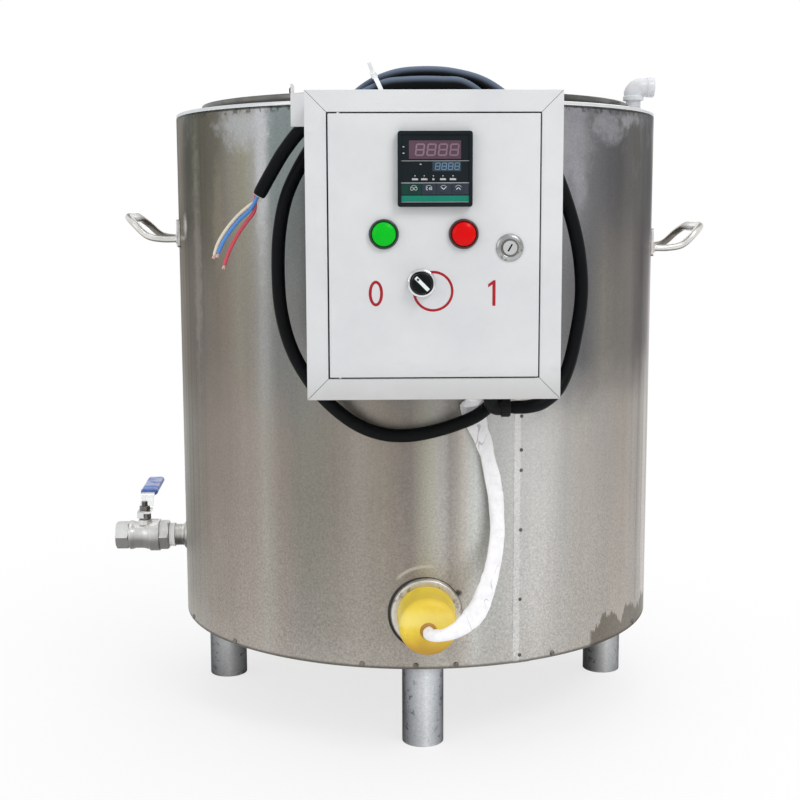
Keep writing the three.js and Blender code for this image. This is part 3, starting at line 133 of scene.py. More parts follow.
def between(value, low, high, toLow=0.0, toHigh=1.0):
    sockets = {"Value": value, "From Min": low, "From Max": high, "To Min": toLow, "To Max": toHigh}
    return addStep(treeOf(value), "MapRange", sockets, interpolation_type="SMOOTHSTEP").outputs[0]


def bandOf(value, rise, fall):
    # 1 between the rise and the fall, 0 outside
    return times(between(value, *rise), between(value, *fall))


def noiseOf(coords, scale, detail=4.0, rough=0.6, stretch=plain, offset=(0, 0, 0)):
    tree = treeOf(coords)
    mapped = addStep(tree, "Mapping", {"Vector": coords, "Scale": stretch, "Location": offset})
    sockets = {"Vector": mapped.outputs[0], "Scale": scale, "Detail": detail, "Roughness": rough}
    return addStep(tree, "TexNoise", sockets).outputs["Fac"]


def swayed(value, noise, amount):
    return sums("ADD", value, times(sums("SUBTRACT", noise, 0.5), amount))


def mixed(share, first, second, blend="MIX"):
    tree = treeOf(share, first, second)
    step = tree.nodes.new("ShaderNodeMix")
    step.data_type = "RGBA"
    step.blend_type = blend
    step.clamp_result = False
    for index, value in ((0, share), (6, first), (7, second)):
        if isinstance(value, bpy.types.NodeSocket):
            tree.links.new(value, step.inputs[index])
        elif index == 0:
            step.inputs[0].default_value = value
        else:
            step.inputs[index].default_value = (*value[:3], 1)
    return step.outputs[2]


def shade(red, green, blue):
    return tuple((c / 255 / 12.92) if c <= 10 else ((c / 255 + 0.055) / 1.055) ** 2.4 for c in (red, green, blue))


def laid(base, tone, mask, share=None):
    # The tone lies over the base as far as the mask says
    return mixed(mask if share is None else times(mask, share), base, shade(*tone))


def rampOf(value, stops):
    tree = treeOf(value)
    step = tree.nodes.new("ShaderNodeValToRGB")
    tree.links.new(value, step.inputs[0])
    ramp = step.color_ramp
    while len(ramp.elements) > 1:
        ramp.elements.remove(ramp.elements[-1])
    ramp.elements[0].position = stops[0][0]
    ramp.elements[0].color = (*stops[0][1], 1)
    for position, color in stops[1:]:
        ramp.elements.new(position).color = (*color, 1)
    return step.outputs[0]


def toneRamp(value, stops):
    # Each stop is its position and its tone
    return rampOf(value, [(position, shade(*tone)) for position, *tone in stops])


def tinted(base, value, stops):
    return mixed(1.0, base, rampOf(value, stops), "MULTIPLY")


def aroundColor(color, share):
    return tuple(c * (1 - share) for c in color), tuple(min(1.0, c * (1 + share)) for c in color)


def bumpOf(height, strength, distance=0.0004):
    sockets = {"Height": height, "Strength": strength, "Distance": distance}
    return addStep(treeOf(height), "Bump", sockets).outputs[0]


def grainOf(coords, scale, strength, distance=0.0004, stretch=plain, rough=0.6):
    return bumpOf(noiseOf(coords, scale, 2.0, rough, stretch), strength, distance)


def turnedAway(coords, axis, start, end):
    # How far a surface turns from start to end along an axis: 0 for across, 1 for deep, 2 for up
    normal = addStep(treeOf(coords), "NewGeometry").outputs["Normal"]
    return between(parted(normal)[axis], start, end)


def newFinish(name, color=(0.5, 0.5, 0.5), metal=0.0, roughness=0.5, **sockets):
    material = bpy.data.materials.new(name)
    material.use_nodes = True
    tree = material.node_tree
    surface = tree.nodes["Principled BSDF"]
    surface.inputs["Base Color"].default_value = (*color, 1)
    surface.inputs["Metallic"].default_value = metal
    surface.inputs["Roughness"].default_value = roughness
    for key, value in sockets.items():
        surface.inputs[key].default_value = value
    coords = addStep(tree, "TexCoord").outputs["Object"]
    return material, coords


def finished(material, base, normal, tone=None, *rough):
    # The roughness runs between its two values as the tone does
    tree = material.node_tree
    surface = tree.nodes["Principled BSDF"]
    roughness = between(tone, 0.3, 0.7, *rough) if rough else None
    for name, socket in (("Base Color", base), ("Normal", normal), ("Roughness", roughness)):
        if socket is not None:
            tree.links.new(socket, surface.inputs[name])
    return material


# Finishes

shellSettings = {
    # Painted reflections and shading, with the sheet's own streaks: angle from the front in degrees, and the tone
    # seen there
    "lowBands": [
        (-88, 157, 154, 146), (-76, 152, 149, 142), (-70, 139, 134, 125), (-64, 136, 130, 120), (-56, 152, 142, 132),
        (-48, 153, 144, 135), (-41, 165, 154, 146), (-36.5, 167, 162, 153), (-32, 147, 138, 130),
        (-26, 135, 133, 124), (-20, 136, 130, 121), (-14, 158, 151, 142), (-8, 152, 144, 133), (-3, 139, 131, 125),
        (1, 176, 173, 158), (3.5, 186, 183, 179), (6, 152, 146, 140), (8.5, 190, 185, 177), (11, 212, 214, 210),
        (13.5, 185, 186, 183), (24, 210, 208, 205), (33, 189, 186, 182), (37, 184, 179, 172), (44, 176, 170, 164),
        (54, 173, 164, 155), (64, 170, 163, 157), (72, 206, 200, 194), (88, 164, 156, 151),
    ],
    "midBands": [
        (-88, 128, 121, 112), (-74, 128, 122, 110), (-71, 132, 122, 110), (-68, 118, 111, 99), (-65, 115, 106, 97),
        (-60, 129, 121, 115), (-54, 132, 124, 113), (-48, 144, 134, 123), (-44, 154, 148, 137), (-40, 152, 146, 135),
        (-36, 168, 167, 165), (-33, 129, 130, 127), (-10, 130, 128, 124), (20, 140, 139, 136), (34, 122, 121, 122),
        (38, 109, 108, 110), (44, 138, 134, 127), (50, 130, 125, 119), (56, 131, 126, 121), (60, 102, 95, 92),
        (64, 90, 82, 81), (67, 108, 101, 98), (70, 119, 113, 111), (73, 202, 195, 192), (78, 197, 192, 188),
        (87, 118, 112, 110),
    ],
    "highBands": [
        (-88, 89, 79, 63), (-83, 49, 43, 29), (-79, 57, 51, 37), (-74, 122, 112, 94), (-71, 104, 94, 74),
        (-68, 61, 55, 40), (-65, 63, 63, 48), (-61, 98, 97, 81), (-56, 99, 95, 81), (-50, 119, 115, 103),
        (-46, 150, 145, 135), (-42, 161, 158, 139), (-38.5, 173, 171, 164), (-36, 194, 193, 192),
        (-33.5, 134, 144, 143), (0, 130, 128, 124), (36, 149, 148, 153), (39, 127, 126, 128), (46, 102, 100, 103),
        (50, 93, 92, 93), (54, 105, 103, 101), (58, 100, 98, 95), (62, 97, 96, 94), (67, 74, 72, 73),
        (71, 65, 62, 64), (74, 129, 126, 127), (80, 154, 152, 151), (87, 53, 51, 52),
    ],
    "back": [(0.06, 136, 131, 124), (0.16, 156, 151, 144)],
    "behind": [(0.84, 152, 147, 140), (0.95, 130, 126, 118)],
    # Heights and depths in metres
    "lowToMid": (0.36, 0.46),
    "midToHigh": (0.50, 0.66),
    "frontDepth": (0.05, 0.10),
    "grainFade": (0.42, 0.12),
    # How high each painted glow of light from below reaches, and its share
    "glows": [(0.32, 0.30), (0.155, 0.38)],
    "glowFoot": 0.10,
    "smearRise": (0.58, 0.70),
    "seamStrip": ((0.0992, 0.1006), (0.1086, 0.1070)),
    "patchTop": 0.128,
    "patchSide": (0.196, 0.201),
    "tuckRise": (0.7165, 0.7205),
    "topLine": (0.7222, 0.7230),
    "arcMiddle": (0.003, 0, 0.173),
    "arcRadius": 0.047,
    "arcEnds": [(2, 0.199, 0.206), (0, 0.013, 0.006), (0, -0.034, -0.026)],
    "dirtRise": (0.1062, 0.1032),
    "tones": {
        "glow": (190, 184, 177), "smear": (188, 190, 194), "strip": (228, 227, 226), "patch": (98, 91, 77),
        "tuck": (58, 60, 60), "topLine": (48, 50, 52), "arc": (214, 209, 200), "dirt": (70, 64, 58),
    },
    # Soft marks, the brightest of them painted highlights: across, height, half width and half height in metres, how
    # much of the tone shows, the tone
    "marks": [
        (-0.200, 0.704, 0.026, 0.020, 0.62, (200, 202, 206)), (-0.178, 0.650, 0.0065, 0.080, 0.60, (204, 205, 208)),
        (0.166, 0.682, 0.022, 0.034, 0.36, (188, 188, 191)), (0.176, 0.640, 0.008, 0.022, 0.34, (186, 186, 189)),
        (0.212, 0.704, 0.020, 0.015, 0.40, (204, 205, 209)), (0.240, 0.714, 0.016, 0.007, 0.40, (206, 207, 211)),
        (-0.232, 0.600, 0.006, 0.060, 0.30, (170, 160, 138)), (-0.262, 0.560, 0.005, 0.120, 0.35, (176, 170, 156)),
        (-0.2805, 0.594, 0.0026, 0.013, 0.75, (236, 236, 236)),
        (-0.290, 0.579, 0.0080, 0.0024, 0.60, (220, 218, 216)),
        (0.2935, 0.584, 0.0022, 0.014, 0.70, (232, 232, 232)), (0.038, 0.189, 0.0035, 0.0030, 0.90, (58, 54, 50)),
    ],
}


def softMark(spot, edge, middle, size):
    # A patch with a ragged edge: 1 at its middle, 0 outside
    off = vectors("SUBTRACT", spot, middle)
    reach = vectors("LENGTH", vectors("MULTIPLY", off, (1 / size[0], 0, 1 / size[1])))
    ragged = sums("ADD", reach, times(edge, 2.6))
    return between(ragged, 1.6, 0.3)


def makeShellFinish():
    s = shellSettings
    tones = s["tones"]
    material, coords = newFinish("brushedShell", metal=1.0, roughness=0.42)
    fromAxis = fromTank(coords)
    places = parted(fromAxis)
    across, deep, height = places
    toFront = times(deep, -1.0)
    angle = sums("ARCTAN2", across, toFront)
    around = sums("ADD", times(angle, 1 / (2 * pi)), 0.5)
    onFront = between(toFront, *s["frontDepth"])
    wavered = swayed(around, noiseOf(fromAxis, 4.0, 2.0, 0.5, (1, 1, 0.35)), 0.006)
    bands = []
    for name in ("lowBands", "midBands", "highBands"):
        stops = [((fromFront + 180) / 360, *tone) for fromFront, *tone in s[name]]
        bands.append(toneRamp(wavered, s["back"] + stops + s["behind"]))
    lifted = swayed(height, noiseOf(fromAxis, 7.0), 0.12)
    base = mixed(between(lifted, *s["lowToMid"]), bands[0], bands[1])
    base = mixed(between(lifted, *s["midToHigh"]), base, bands[2])
    streaks = noiseOf(fromAxis, 26.0, 4.0, 0.6, (1, 1, 0.035))
    base = tinted(base, streaks, [(0.25, (0.90,) * 3), (0.5, (1, 1, 1)), (0.75, (1.07, 1.06, 1.05))])
    # Fine upright lines towards both sides
    lines = noiseOf(fromAxis, 120.0, 3.0, 0.7, (1, 1, 0.012))
    lined = tinted(base, lines, [(0.34, (0.62,) * 3), (0.5, (1, 1, 1)), (0.66, (1.22,) * 3)])
    aside = between(sums("ABSOLUTE", angle), 0.90, 1.20)
    base = mixed(times(aside, 0.75), base, lined)
    # Painted light from below lightens the lower shell
    for top, share in s["glows"]:
        base = laid(base, tones["glow"], between(height, top, s["glowFoot"]), share)
    smears = noiseOf(fromAxis, 11.0, 5.0, 0.62, (1, 1, 0.8), (2.3, 0, 1.1))
    nearTop = times(between(height, *s["smearRise"]), 0.35)
    base = laid(base, tones["smear"], between(smears, 0.52, 0.72), nearTop)
    # A painted highlight beside the lap seam, and soft marks
    strip = times(bandOf(across, *s["seamStrip"]), between(smears, 0.30, 0.62, 0.30, 0.66))
    base = laid(base, tones["strip"], strip, onFront)
    onSheet = joined(across, 0.0, height)
    edge = sums("SUBTRACT", noiseOf(fromAxis, 60.0, 5.0, 0.68), 0.5)
    for x, z, wide, high, share, tone in s["marks"]:
        mark = times(softMark(onSheet, edge, (x, 0, z), (wide, high)), onFront)
        base = laid(base, tone, mark, share)
    # A painted dark patch of shade with a jagged top low on the right
    jagged = noiseOf(fromAxis, 42.0, 4.0, 0.6, (1, 1, 0.22), (0, 3, 0))
    top = swayed(s["patchTop"], jagged, 0.075)
    under = between(sums("SUBTRACT", height, top), 0.0035, -0.0015)
    patch = times(under, times(between(across, *s["patchSide"]), onFront))
    base = laid(base, tones["patch"], patch, 0.74)
    # Dark tucks along the top edge
    tucks = noiseOf(fromAxis, 150.0, 3.0, 0.7, (1, 1, 0.6))
    atTop = times(between(height, *s["tuckRise"]), between(tucks, 0.50, 0.58))
    base = laid(base, tones["tuck"], atTop, 0.65)
    base = laid(base, tones["topLine"], between(height, *s["topLine"]), 0.75)
    grain = noiseOf(fromAxis, 430.0, 3.0, 0.7)
    speckled = tinted(base, grain, [(0.3, (0.74,) * 3), (0.7, (1.24,) * 3)])
    base = mixed(between(height, *s["grainFade"], 0.45, 1.0), base, speckled)
    # A worn arc above the heater and a dirty lower edge
    ringOff = sums("SUBTRACT", vectors("DISTANCE", onSheet, s["arcMiddle"]), s["arcRadius"])
    arc = between(sums("ABSOLUTE", ringOff), 0.0028, 0.0006)
    for axis, start, end in s["arcEnds"]:
        arc = times(arc, between(places[axis], start, end))
    base = laid(base, tones["arc"], times(arc, onFront), 0.55)
    base = laid(base, tones["dirt"], between(height, *s["dirtRise"]), 0.7)
    dull = noiseOf(fromAxis, 9.0, 4.0, 0.6, (1, 1, 0.4), (5, 0, 0))
    brush = grainOf(fromAxis, 900.0, 0.12, stretch=(1, 1, 0.05))
    return finished(material, base, brush, dull, 0.36, 0.52)


def makeSheetFinish(name, color, roughness=0.32, streakShare=0.12, grain=700.0, stretch=(1, 1, 0.06), stain=None):
    material, coords = newFinish(name, color, 1.0, roughness)
    streak = noiseOf(coords, 60.0, 4.0, 0.6, stretch)
    blotch = noiseOf(coords, 14.0)
    low, high = aroundColor(color, streakShare)
    base = rampOf(streak, [(0.3, low), (0.7, high)])
    base = mixed(times(between(blotch, 0.35, 0.75), 0.35), base, low)
    if stain:
        scale, low, high, share, tone = stain
        base = laid(base, tone, between(noiseOf(coords, scale, 5.0, 0.66), low, high), share)
    fine = grainOf(coords, grain, 0.15, 0.0003, stretch)
    return finished(material, base, fine, blotch, roughness * 0.8, roughness * 1.3)


# Painted reflection across each leg: dark at both sides, light in the middle
legReflectionTones = [
    (0.0, 70, 72, 76), (0.06, 88, 90, 94), (0.15, 150, 152, 157), (0.30, 188, 190, 195), (0.44, 214, 216, 220),
    (0.56, 238, 240, 244), (0.68, 220, 223, 227), (0.84, 186, 189, 194), (0.94, 104, 107, 112), (1.0, 66, 68, 72),
]


def makeLegFinish():
    material, coords = newFinish("legSteel", shade(170, 172, 178), 1.0, 0.42)
    across = parted(coords.node.outputs["Generated"])[0]
    places = parted(coords)
    cloud = noiseOf(coords, 30.0, 4.0, 0.62, (1, 1, 0.5))
    base = toneRamp(swayed(across, cloud, 0.14), legReflectionTones)
    spots = noiseOf(coords, 150.0, 5.0, 0.68)
    offMiddle = sums("ABSOLUTE", sums("SUBTRACT", across, 0.54))
    nearSides = times(between(offMiddle, 0.14, 0.34), 0.75)
    base = laid(base, (54, 55, 58), between(spots, 0.56, 0.64), nearSides)
    fleck = noiseOf(coords, 420.0, 3.0, 0.7)
    base = tinted(base, fleck, [(0.3, (0.84,) * 3), (0.7, (1.10,) * 3)])
    # Painted shadow under the shell darkens the tops of the legs
    base = laid(base, (92, 93, 96), between(places[2], 0.080, 0.104), 0.45)
    # The legs at the sides are painted darker than the one in front: painted shade
    off = sums("SUBTRACT", places[0], tankMiddle[0])
    atSide = between(sums("ABSOLUTE", off), 0.10, 0.20)
    base = mixed(atSide, base, (0.80, 0.79, 0.76), "MULTIPLY")
    return finished(material, base, bumpOf(fleck, 0.2), cloud, 0.36, 0.52)


def makeLidFinish():
    material, coords = newFinish("lidSteel", shade(176, 174, 168), 1.0, 0.34)
    across, deep, height = parted(fromTank(coords))
    reach = vectors("LENGTH", joined(across, deep, 0.0))
    streak = noiseOf(coords, 60.0, 4.0, 0.6, (0.2, 1, 1))
    spots = noiseOf(coords, 26.0, 5.0, 0.66)
    base = toneRamp(streak, [(0.3, 152, 150, 146), (0.7, 184, 182, 176)])
    base = laid(base, (110, 98, 84), between(spots, 0.55, 0.75), 0.35)
    # The turned-down rim is burnt brown and grey, with painted shade darkest at its foot and a dark line along its
    # top
    burn = noiseOf(coords, 34.0, 4.0, 0.65, (0.35, 0.35, 1.6), (4, 0, 0))
    rim = toneRamp(burn, [(0.32, 72, 73, 72), (0.52, 116, 117, 114), (0.64, 138, 136, 130), (0.72, 112, 92, 80)])
    rim = laid(rim, (44, 40, 37), between(height, 0.7372, 0.7338), 0.80)
    rim = laid(rim, (60, 60, 60), between(height, 0.7390, 0.7403), 0.45)
    base = mixed(times(between(reach, 0.2600, 0.2650), 0.92), base, rim)
    fine = grainOf(coords, 700.0, 0.15, 0.0003, (0.2, 1, 1))
    return finished(material, base, fine, spots, 0.28, 0.44)


def makeCastFinish(name, color, roughness=0.38, pits=420.0, farTone=None, lowTone=None, metal=1.0):
    material, coords = newFinish(name, color, metal, roughness)
    pit = noiseOf(coords, pits, 3.0)
    tone = noiseOf(coords, 45.0)
    base = rampOf(tone, [(0.3, tuple(c * 0.72 for c in color)), (0.65, color)])
    if lowTone:
        # Painted shade: what looks down is darkened
        base = laid(base, lowTone, turnedAway(coords, 2, 0.35, -0.30), 0.88)
    if farTone:
        # Painted shade, brownish, darkens the far bar and what looks down, up or back
        deep = parted(coords)[1]
        far = between(deep, tankMiddle[1] - 0.035, tankMiddle[1] + 0.030, 0.0, 0.85)
        flank = sums("MAXIMUM", turnedAway(coords, 2, -0.15, -0.7), turnedAway(coords, 2, 0.55, 0.95))
        behind = sums("MAXIMUM", turnedAway(coords, 1, 0.1, 0.7), flank)
        base = laid(base, farTone, sums("MAXIMUM", far, times(behind, 0.85)))
    return finished(material, base, bumpOf(pit, 0.25), tone, roughness * 1.25, roughness * 0.8)


def makePaintFinish():
    material, coords = newFinish("whitePaint", shade(211, 212, 213), 0.0, 0.36,
            **{"Coat Weight": 0.12, "Coat Roughness": 0.25})
    smudge = noiseOf(coords, 9.0, 5.0, 0.62, (1, 1, 1), (3, 1, 0))
    scuff = noiseOf(coords, 38.0, 5.0, 0.68, (0.35, 1, 1.4), (0, 4, 0))
    base = toneRamp(smudge, [(0.35, 205, 206, 208), (0.65, 214, 215, 216)])
    base = laid(base, (170, 170, 168), between(scuff, 0.60, 0.80), 0.24)
    # Darker towards the lower edge: painted shade of light from above, mixed with grime
    lowEdge = between(parted(coords)[2], 0.466, 0.424)
    base = laid(base, (178, 177, 174), times(lowEdge, between(smudge, 0.30, 0.58, 0.35, 1.0)), 0.7)
    peel = grainOf(coords, 330.0, 0.05, 0.0006, rough=0.5)
    return finished(material, base, peel, smudge, 0.32, 0.44)


def makeMouldedFinish(name, color, roughness=0.42, grain=900.0, bump=0.08, spread=0.12, coat=0.0, subsurface=0.0,
        shine=0.5):
    sockets = {"Specular IOR Level": shine, "Coat Weight": coat, "Coat Roughness": 0.12}
    if subsurface:
        sockets.update({"Subsurface Weight": subsurface, "Subsurface Scale": 0.004})
    material, coords = newFinish(name, color, 0.0, roughness, **sockets)
    tone = noiseOf(coords, 34.0)
    low, high = aroundColor(color, spread)
    base = rampOf(tone, [(0.3, low), (0.7, high)])
    return finished(material, base, grainOf(coords, grain, bump), tone, roughness * 0.85, roughness * 1.2)


def makeRubberCapFinish():
    soft = {"Subsurface Weight": 0.15, "Subsurface Scale": 0.006, "Subsurface Radius": (1.0, 0.7, 0.2)}
    material, coords = newFinish("yellowRubber", shade(235, 205, 60), 0.0, 0.48, **soft)
    tone = noiseOf(coords, 22.0)
    dirt = noiseOf(coords, 60.0, 5.0, 0.7, (1, 1, 1), (2, 0, 5))
    base = toneRamp(tone, [(0.3, 222, 186, 42), (0.6, 240, 212, 70), (0.8, 246, 224, 110)])
    base = laid(base, (176, 140, 44), between(dirt, 0.56, 0.74), 0.45)
    # Painted shade darkens the cap's lower part, a painted highlight lightens a band across its upper middle, and
    # what looks up is painted lighter
    height = parted(coords)[2]
    base = laid(base, (190, 140, 38), between(height, 0.162, 0.138), 0.9)
    base = laid(base, (250, 228, 132), bandOf(height, (0.164, 0.173), (0.190, 0.178)), 0.55)
    base = laid(base, (238, 206, 72), turnedAway(coords, 2, 0.2, 0.8), 0.5)
    return finished(material, base, grainOf(coords, 700.0, 0.08), tone, 0.42, 0.56)


def makeSleeveFinish():
    # Blue, with a painted glare over its far half and a painted highlight line near its open end
    material, coords = newFinish("leverSleeve", shade(74, 116, 206), 0.0, 0.34)
    deep = sums("SUBTRACT", parted(coords)[1], tankMiddle[1])
    tone = noiseOf(coords, 60.0)
    base = toneRamp(tone, [(0.3, 62, 104, 196), (0.7, 92, 134, 216)])
    glare = bandOf(deep, (0.052, 0.062), (0.108, 0.100))
    glare = times(glare, between(tone, 0.36, 0.54), turnedAway(coords, 2, 0.3, 0.8))
    base = laid(base, (206, 206, 236), glare, 0.75)
    base = laid(base, (160, 190, 240), bandOf(deep, (0.0425, 0.0435), (0.0475, 0.0465)), 0.7)
    return finished(material, base, grainOf(coords, 700.0, 0.08))


def makeWrapFinish():
    sheen = {"Sheen Weight": 0.15, "Sheen Roughness": 0.5}
    material, coords = newFinish("glassWrap", shade(250, 249, 250), 0.0, 0.78, **sheen)
    weave = addStep(treeOf(coords), "TexWave", {"Vector": coords, "Scale": 420.0, "Distortion": 1.5, "Detail": 1.0},
            bands_direction="DIAGONAL").outputs["Fac"]
    crease = noiseOf(coords, 120.0)
    pink = noiseOf(coords, 42.0, 3.0, 0.6, (1, 1, 0.6), (1, 2, 8))
    # The base is a shade darker where the creases sink: painted shade in the creases
    base = toneRamp(crease, [(0.3, 240, 238, 241), (0.55, 251, 250, 251)])
    base = laid(base, (232, 212, 220), between(pink, 0.60, 0.74), 0.3)
    thread = noiseOf(coords, 46.0, 2.0, 0.5, (1, 0.6, 0.30), (6, 0, 0))
    line = sums("ABSOLUTE", sums("SUBTRACT", thread, 0.5))
    shown = times(between(line, 0.010, 0.002), between(pink, 0.46, 0.58))
    base = laid(base, (168, 148, 156), shown, 0.6)
    height = sums("ADD", times(weave, 0.35), crease)
    return finished(material, base, bumpOf(height, 0.35, 0.0010))


def makeCordFinish():
    material, coords = newFinish("cordRubber", shade(8, 9, 10), 0.0, 0.52, **{"Specular IOR Level": 0.11})
    tone = noiseOf(coords, 30.0)
    dust = noiseOf(coords, 160.0, 4.0, 0.7)
    base = toneRamp(tone, [(0.3, 5, 6, 7), (0.7, 11, 13, 15)])
    base = laid(base, (60, 66, 72), between(dust, 0.60, 0.80), 0.14)
    # What lies high and looks up is paler: a painted reflection of the sky
    high = between(parted(coords)[2], 0.700, 0.735)
    base = laid(base, (98, 111, 130), times(high, turnedAway(coords, 2, -0.1, 0.8)), 0.9)
    return finished(material, base, grainOf(coords, 1100.0, 0.15), tone, 0.44, 0.60)


def makeLensFinish(name, color, glow):
    lit = {"Specular IOR Level": 0.14, "Emission Color": (*color, 1), "Emission Strength": glow}
    material, coords = newFinish(name, color, 0.0, 0.20, **lit)
    cells = addStep(treeOf(coords), "TexVoronoi", {"Vector": coords, "Scale": 520.0},
            feature="F1").outputs["Distance"]
    base = rampOf(cells, [(0.0, tuple(c * 0.9 for c in color)), (0.6, color)])
    return finished(material, base, bumpOf(cells, 0.12, 0.0005))


# Name of the finish, its tone, its roughness and what else differs

sheetFinishes = {
    "steel": ("rolledSteel", (196, 196, 194), 0.30),
    # The top ring is paler steel than the rest: a painted highlight along its bead
    "rim": ("topRing", (238, 240, 241), 0.34, {"streakShare": 0.05}),
    "pot": ("potSteel", (188, 188, 186), 0.26, {"streakShare": 0.08}),
    "zinc": ("zincPlate", (176, 174, 166), 0.46, {"streakShare": 0.10, "stretch": plain,
                                                  "stain": (60.0, 0.56, 0.72, 0.5, (84, 78, 70))}),
    "bright": ("brightSteel", (222, 222, 222), 0.20, {"streakShare": 0.06}),
    "chrome": ("plating", (226, 228, 230), 0.09, {"streakShare": 0.03, "stretch": plain}),
    # The lock's plating is darker, with dark flecks: painted reflections
    "lock": ("lockPlating", (176, 176, 176), 0.22, {"streakShare": 0.22, "stretch": plain,
                                                    "stain": (120.0, 0.52, 0.62, 0.7, (92, 91, 90))}),
    "copper": ("bareCopper", (240, 212, 202), 0.34, {"streakShare": 0.15, "stretch": plain}),
    # The rivets are dark steel: painted shade of their recesses
    "rivet": ("rivetSteel", (104, 99, 92), 0.42, {"streakShare": 0.15, "stretch": plain}),
    "ringSteel": ("heatedRing", (216, 211, 202), 0.36, {"streakShare": 0.10, "stretch": plain,
                                                        "stain": (90.0, 0.52, 0.66, 0.6, (104, 94, 82))}),
    # Darker steel for the edge screws and the lock's ring: painted shade
    "screw": ("dullScrew", (128, 124, 118), 0.44, {"streakShare": 0.18, "stretch": plain}),
}
castFinishes = {
    "pipe": ("pipeSteel", (236, 234, 230), 0.34, {"lowTone": (66, 64, 62), "metal": 0.7}),
    "nut": ("nutSteel", (158, 155, 151), 0.30, {"lowTone": (70, 68, 66)}),
    "handle": ("handleSteel", (240, 238, 234), 0.26, {"pits": 180.0, "farTone": (92, 84, 72), "metal": 0.6}),
    "valve": ("castValve", (242, 241, 239), 0.34, {"lowTone": (118, 116, 114), "metal": 0.6}),
}
mouldedFinishes = {
    "black": ("blackPlastic", (10, 12, 13), 0.42, {"shine": 0.18}),
    "casing": ("controllerPlastic", (11, 22, 27), 0.38, {"shine": 0.2}),
    "grey": ("greyPlastic", (176, 178, 180), 0.48),
    "cream": ("creamPlastic", (226, 219, 198), 0.46),
    "white": ("whitePlastic", (207, 208, 211), 0.30, {"coat": 0.2, "subsurface": 0.08, "spread": 0.08}),
    "tie": ("tieNylon", (240, 241, 242), 0.36, {"coat": 0.1, "spread": 0.02}),
    "tape": ("sealTape", (244, 244, 242), 0.62, {"grain": 500.0, "bump": 0.3, "spread": 0.03}),
    "green": ("greenPrint", (8, 118, 96), 0.4, {"shine": 0.25}),
    "deepGreen": ("deepGreenPrint", (8, 54, 47), 0.4, {"shine": 0.25}),
    "red": ("redPrint", (160, 16, 28), 0.5, {"spread": 0.12, "shine": 0.3}),
    "wool": ("felt", (210, 200, 160), 0.9, {"grain": 300.0, "bump": 0.6, "spread": 0.2}),
    "wireWhite": ("whiteWire", (224, 212, 190), 0.35, {"spread": 0.05}),
    "wireBlue": ("blueWire", (78, 138, 208), 0.35, {"spread": 0.06}),
    "wireRed": ("redWire", (206, 74, 88), 0.35, {"spread": 0.06}),
    "darkRim": ("darkRim", (18, 40, 34), 0.30, {"coat": 0.2}),
    "redRim": ("redRim", (58, 12, 14), 0.30, {"coat": 0.2}),
    "seal": ("sealRubber", (50, 50, 48), 0.6, {"spread": 0.3, "shine": 0.25}),
    "capStain": ("stainedRubber", (168, 122, 52), 0.5, {"spread": 0.25}),
    "shadowPaint": ("paintInShade", (92, 94, 94), 0.6),
    "keyGround": ("keyGround", (44, 52, 64), 0.42, {"spread": 0.08, "shine": 0.25}),
    "iconWhite": ("iconPrint", (222, 228, 228), 0.4, {"spread": 0.04}),
    "windowPink": ("windowPink", (86, 62, 76), 0.2, {"bump": 0.02, "shine": 0.3}),
    "windowBlue": ("windowBlue", (46, 62, 76), 0.2, {"bump": 0.02, "shine": 0.3}),
    "digitPink": ("digitPink", (128, 104, 118), 0.3, {"bump": 0.02, "shine": 0.3}),
    "digitBlue": ("digitBlue", (98, 124, 146), 0.3, {"bump": 0.02, "shine": 0.3}),
}
finishes = {
    "shell": makeShellFinish(),
    "lid": makeLidFinish(),
    "leg": makeLegFinish(),
    "paint": makePaintFinish(),
    "blue": makeSleeveFinish(),
    "yellow": makeRubberCapFinish(),
    "wrap": makeWrapFinish(),
    "cord": makeCordFinish(),
    "greenLens": makeLensFinish("greenLens", shade(0, 176, 30), 0.16),
    "redLens": makeLensFinish("redLens", shade(200, 2, 3), 0.16),
}
for makeFinish, rows in ((makeSheetFinish, sheetFinishes), (makeCastFinish, castFinishes),
        (makeMouldedFinish, mouldedFinishes)):
    for key, (name, tone, roughness, *more) in rows.items():
        finishes[key] = makeFinish(name, shade(*tone), roughness, **(more[0] if more else {}))
print("finishes made:", len(finishes))


# Small tools for shapes: each gives a list of points in millimetres and a list of faces

def facing(way, spot=(0, 0, 0)):
    x, y, z = spot
    ways = {
        "up": lambda u, v, w: (x + u, y + v, z + w),
        "front": lambda u, v, w: (x + u, y - w, z + v),
        "back": lambda u, v, w: (x - u, y + w, z + v),
        "left": lambda u, v, w: (x - w, y - u, z + v),
        "right": lambda u, v, w: (x + w, y + u, z + v),
    }
    return ways[way]


def spun(shape, degrees):
    c, s = cos(radians(degrees)), sin(radians(degrees))
    return [(x * c - y * s, x * s + y * c, z) for x, y, z in shape[0]], shape[1]


def shifted(shape, dx=0.0, dy=0.0, dz=0.0):
    return [(x + dx, y + dy, z + dz) for x, y, z in shape[0]], shape[1]


def together(*shapes):
    points, faces = [], []
    for shapePoints, shapeFaces in shapes:
        base = len(points)
        points += list(shapePoints)
        faces += [tuple(base + i for i in face) for face in shapeFaces]
    return points, faces


def arcOf(middle, radii, start, end, steps):
    # Spots along an arc, or along a part of an ellipse, from start to end in degrees
    spots = []
    for i in range(steps + 1):
        angle = radians(start + (end - start) * i / steps)
        spots.append((middle[0] + radii[0] * cos(angle), middle[1] + radii[1] * sin(angle)))
    return spots


def circleOutline(radius, count=32, middle=(0, 0)):
    return arcOf(middle, (radius, radius), 0, 360, count)[:-1]


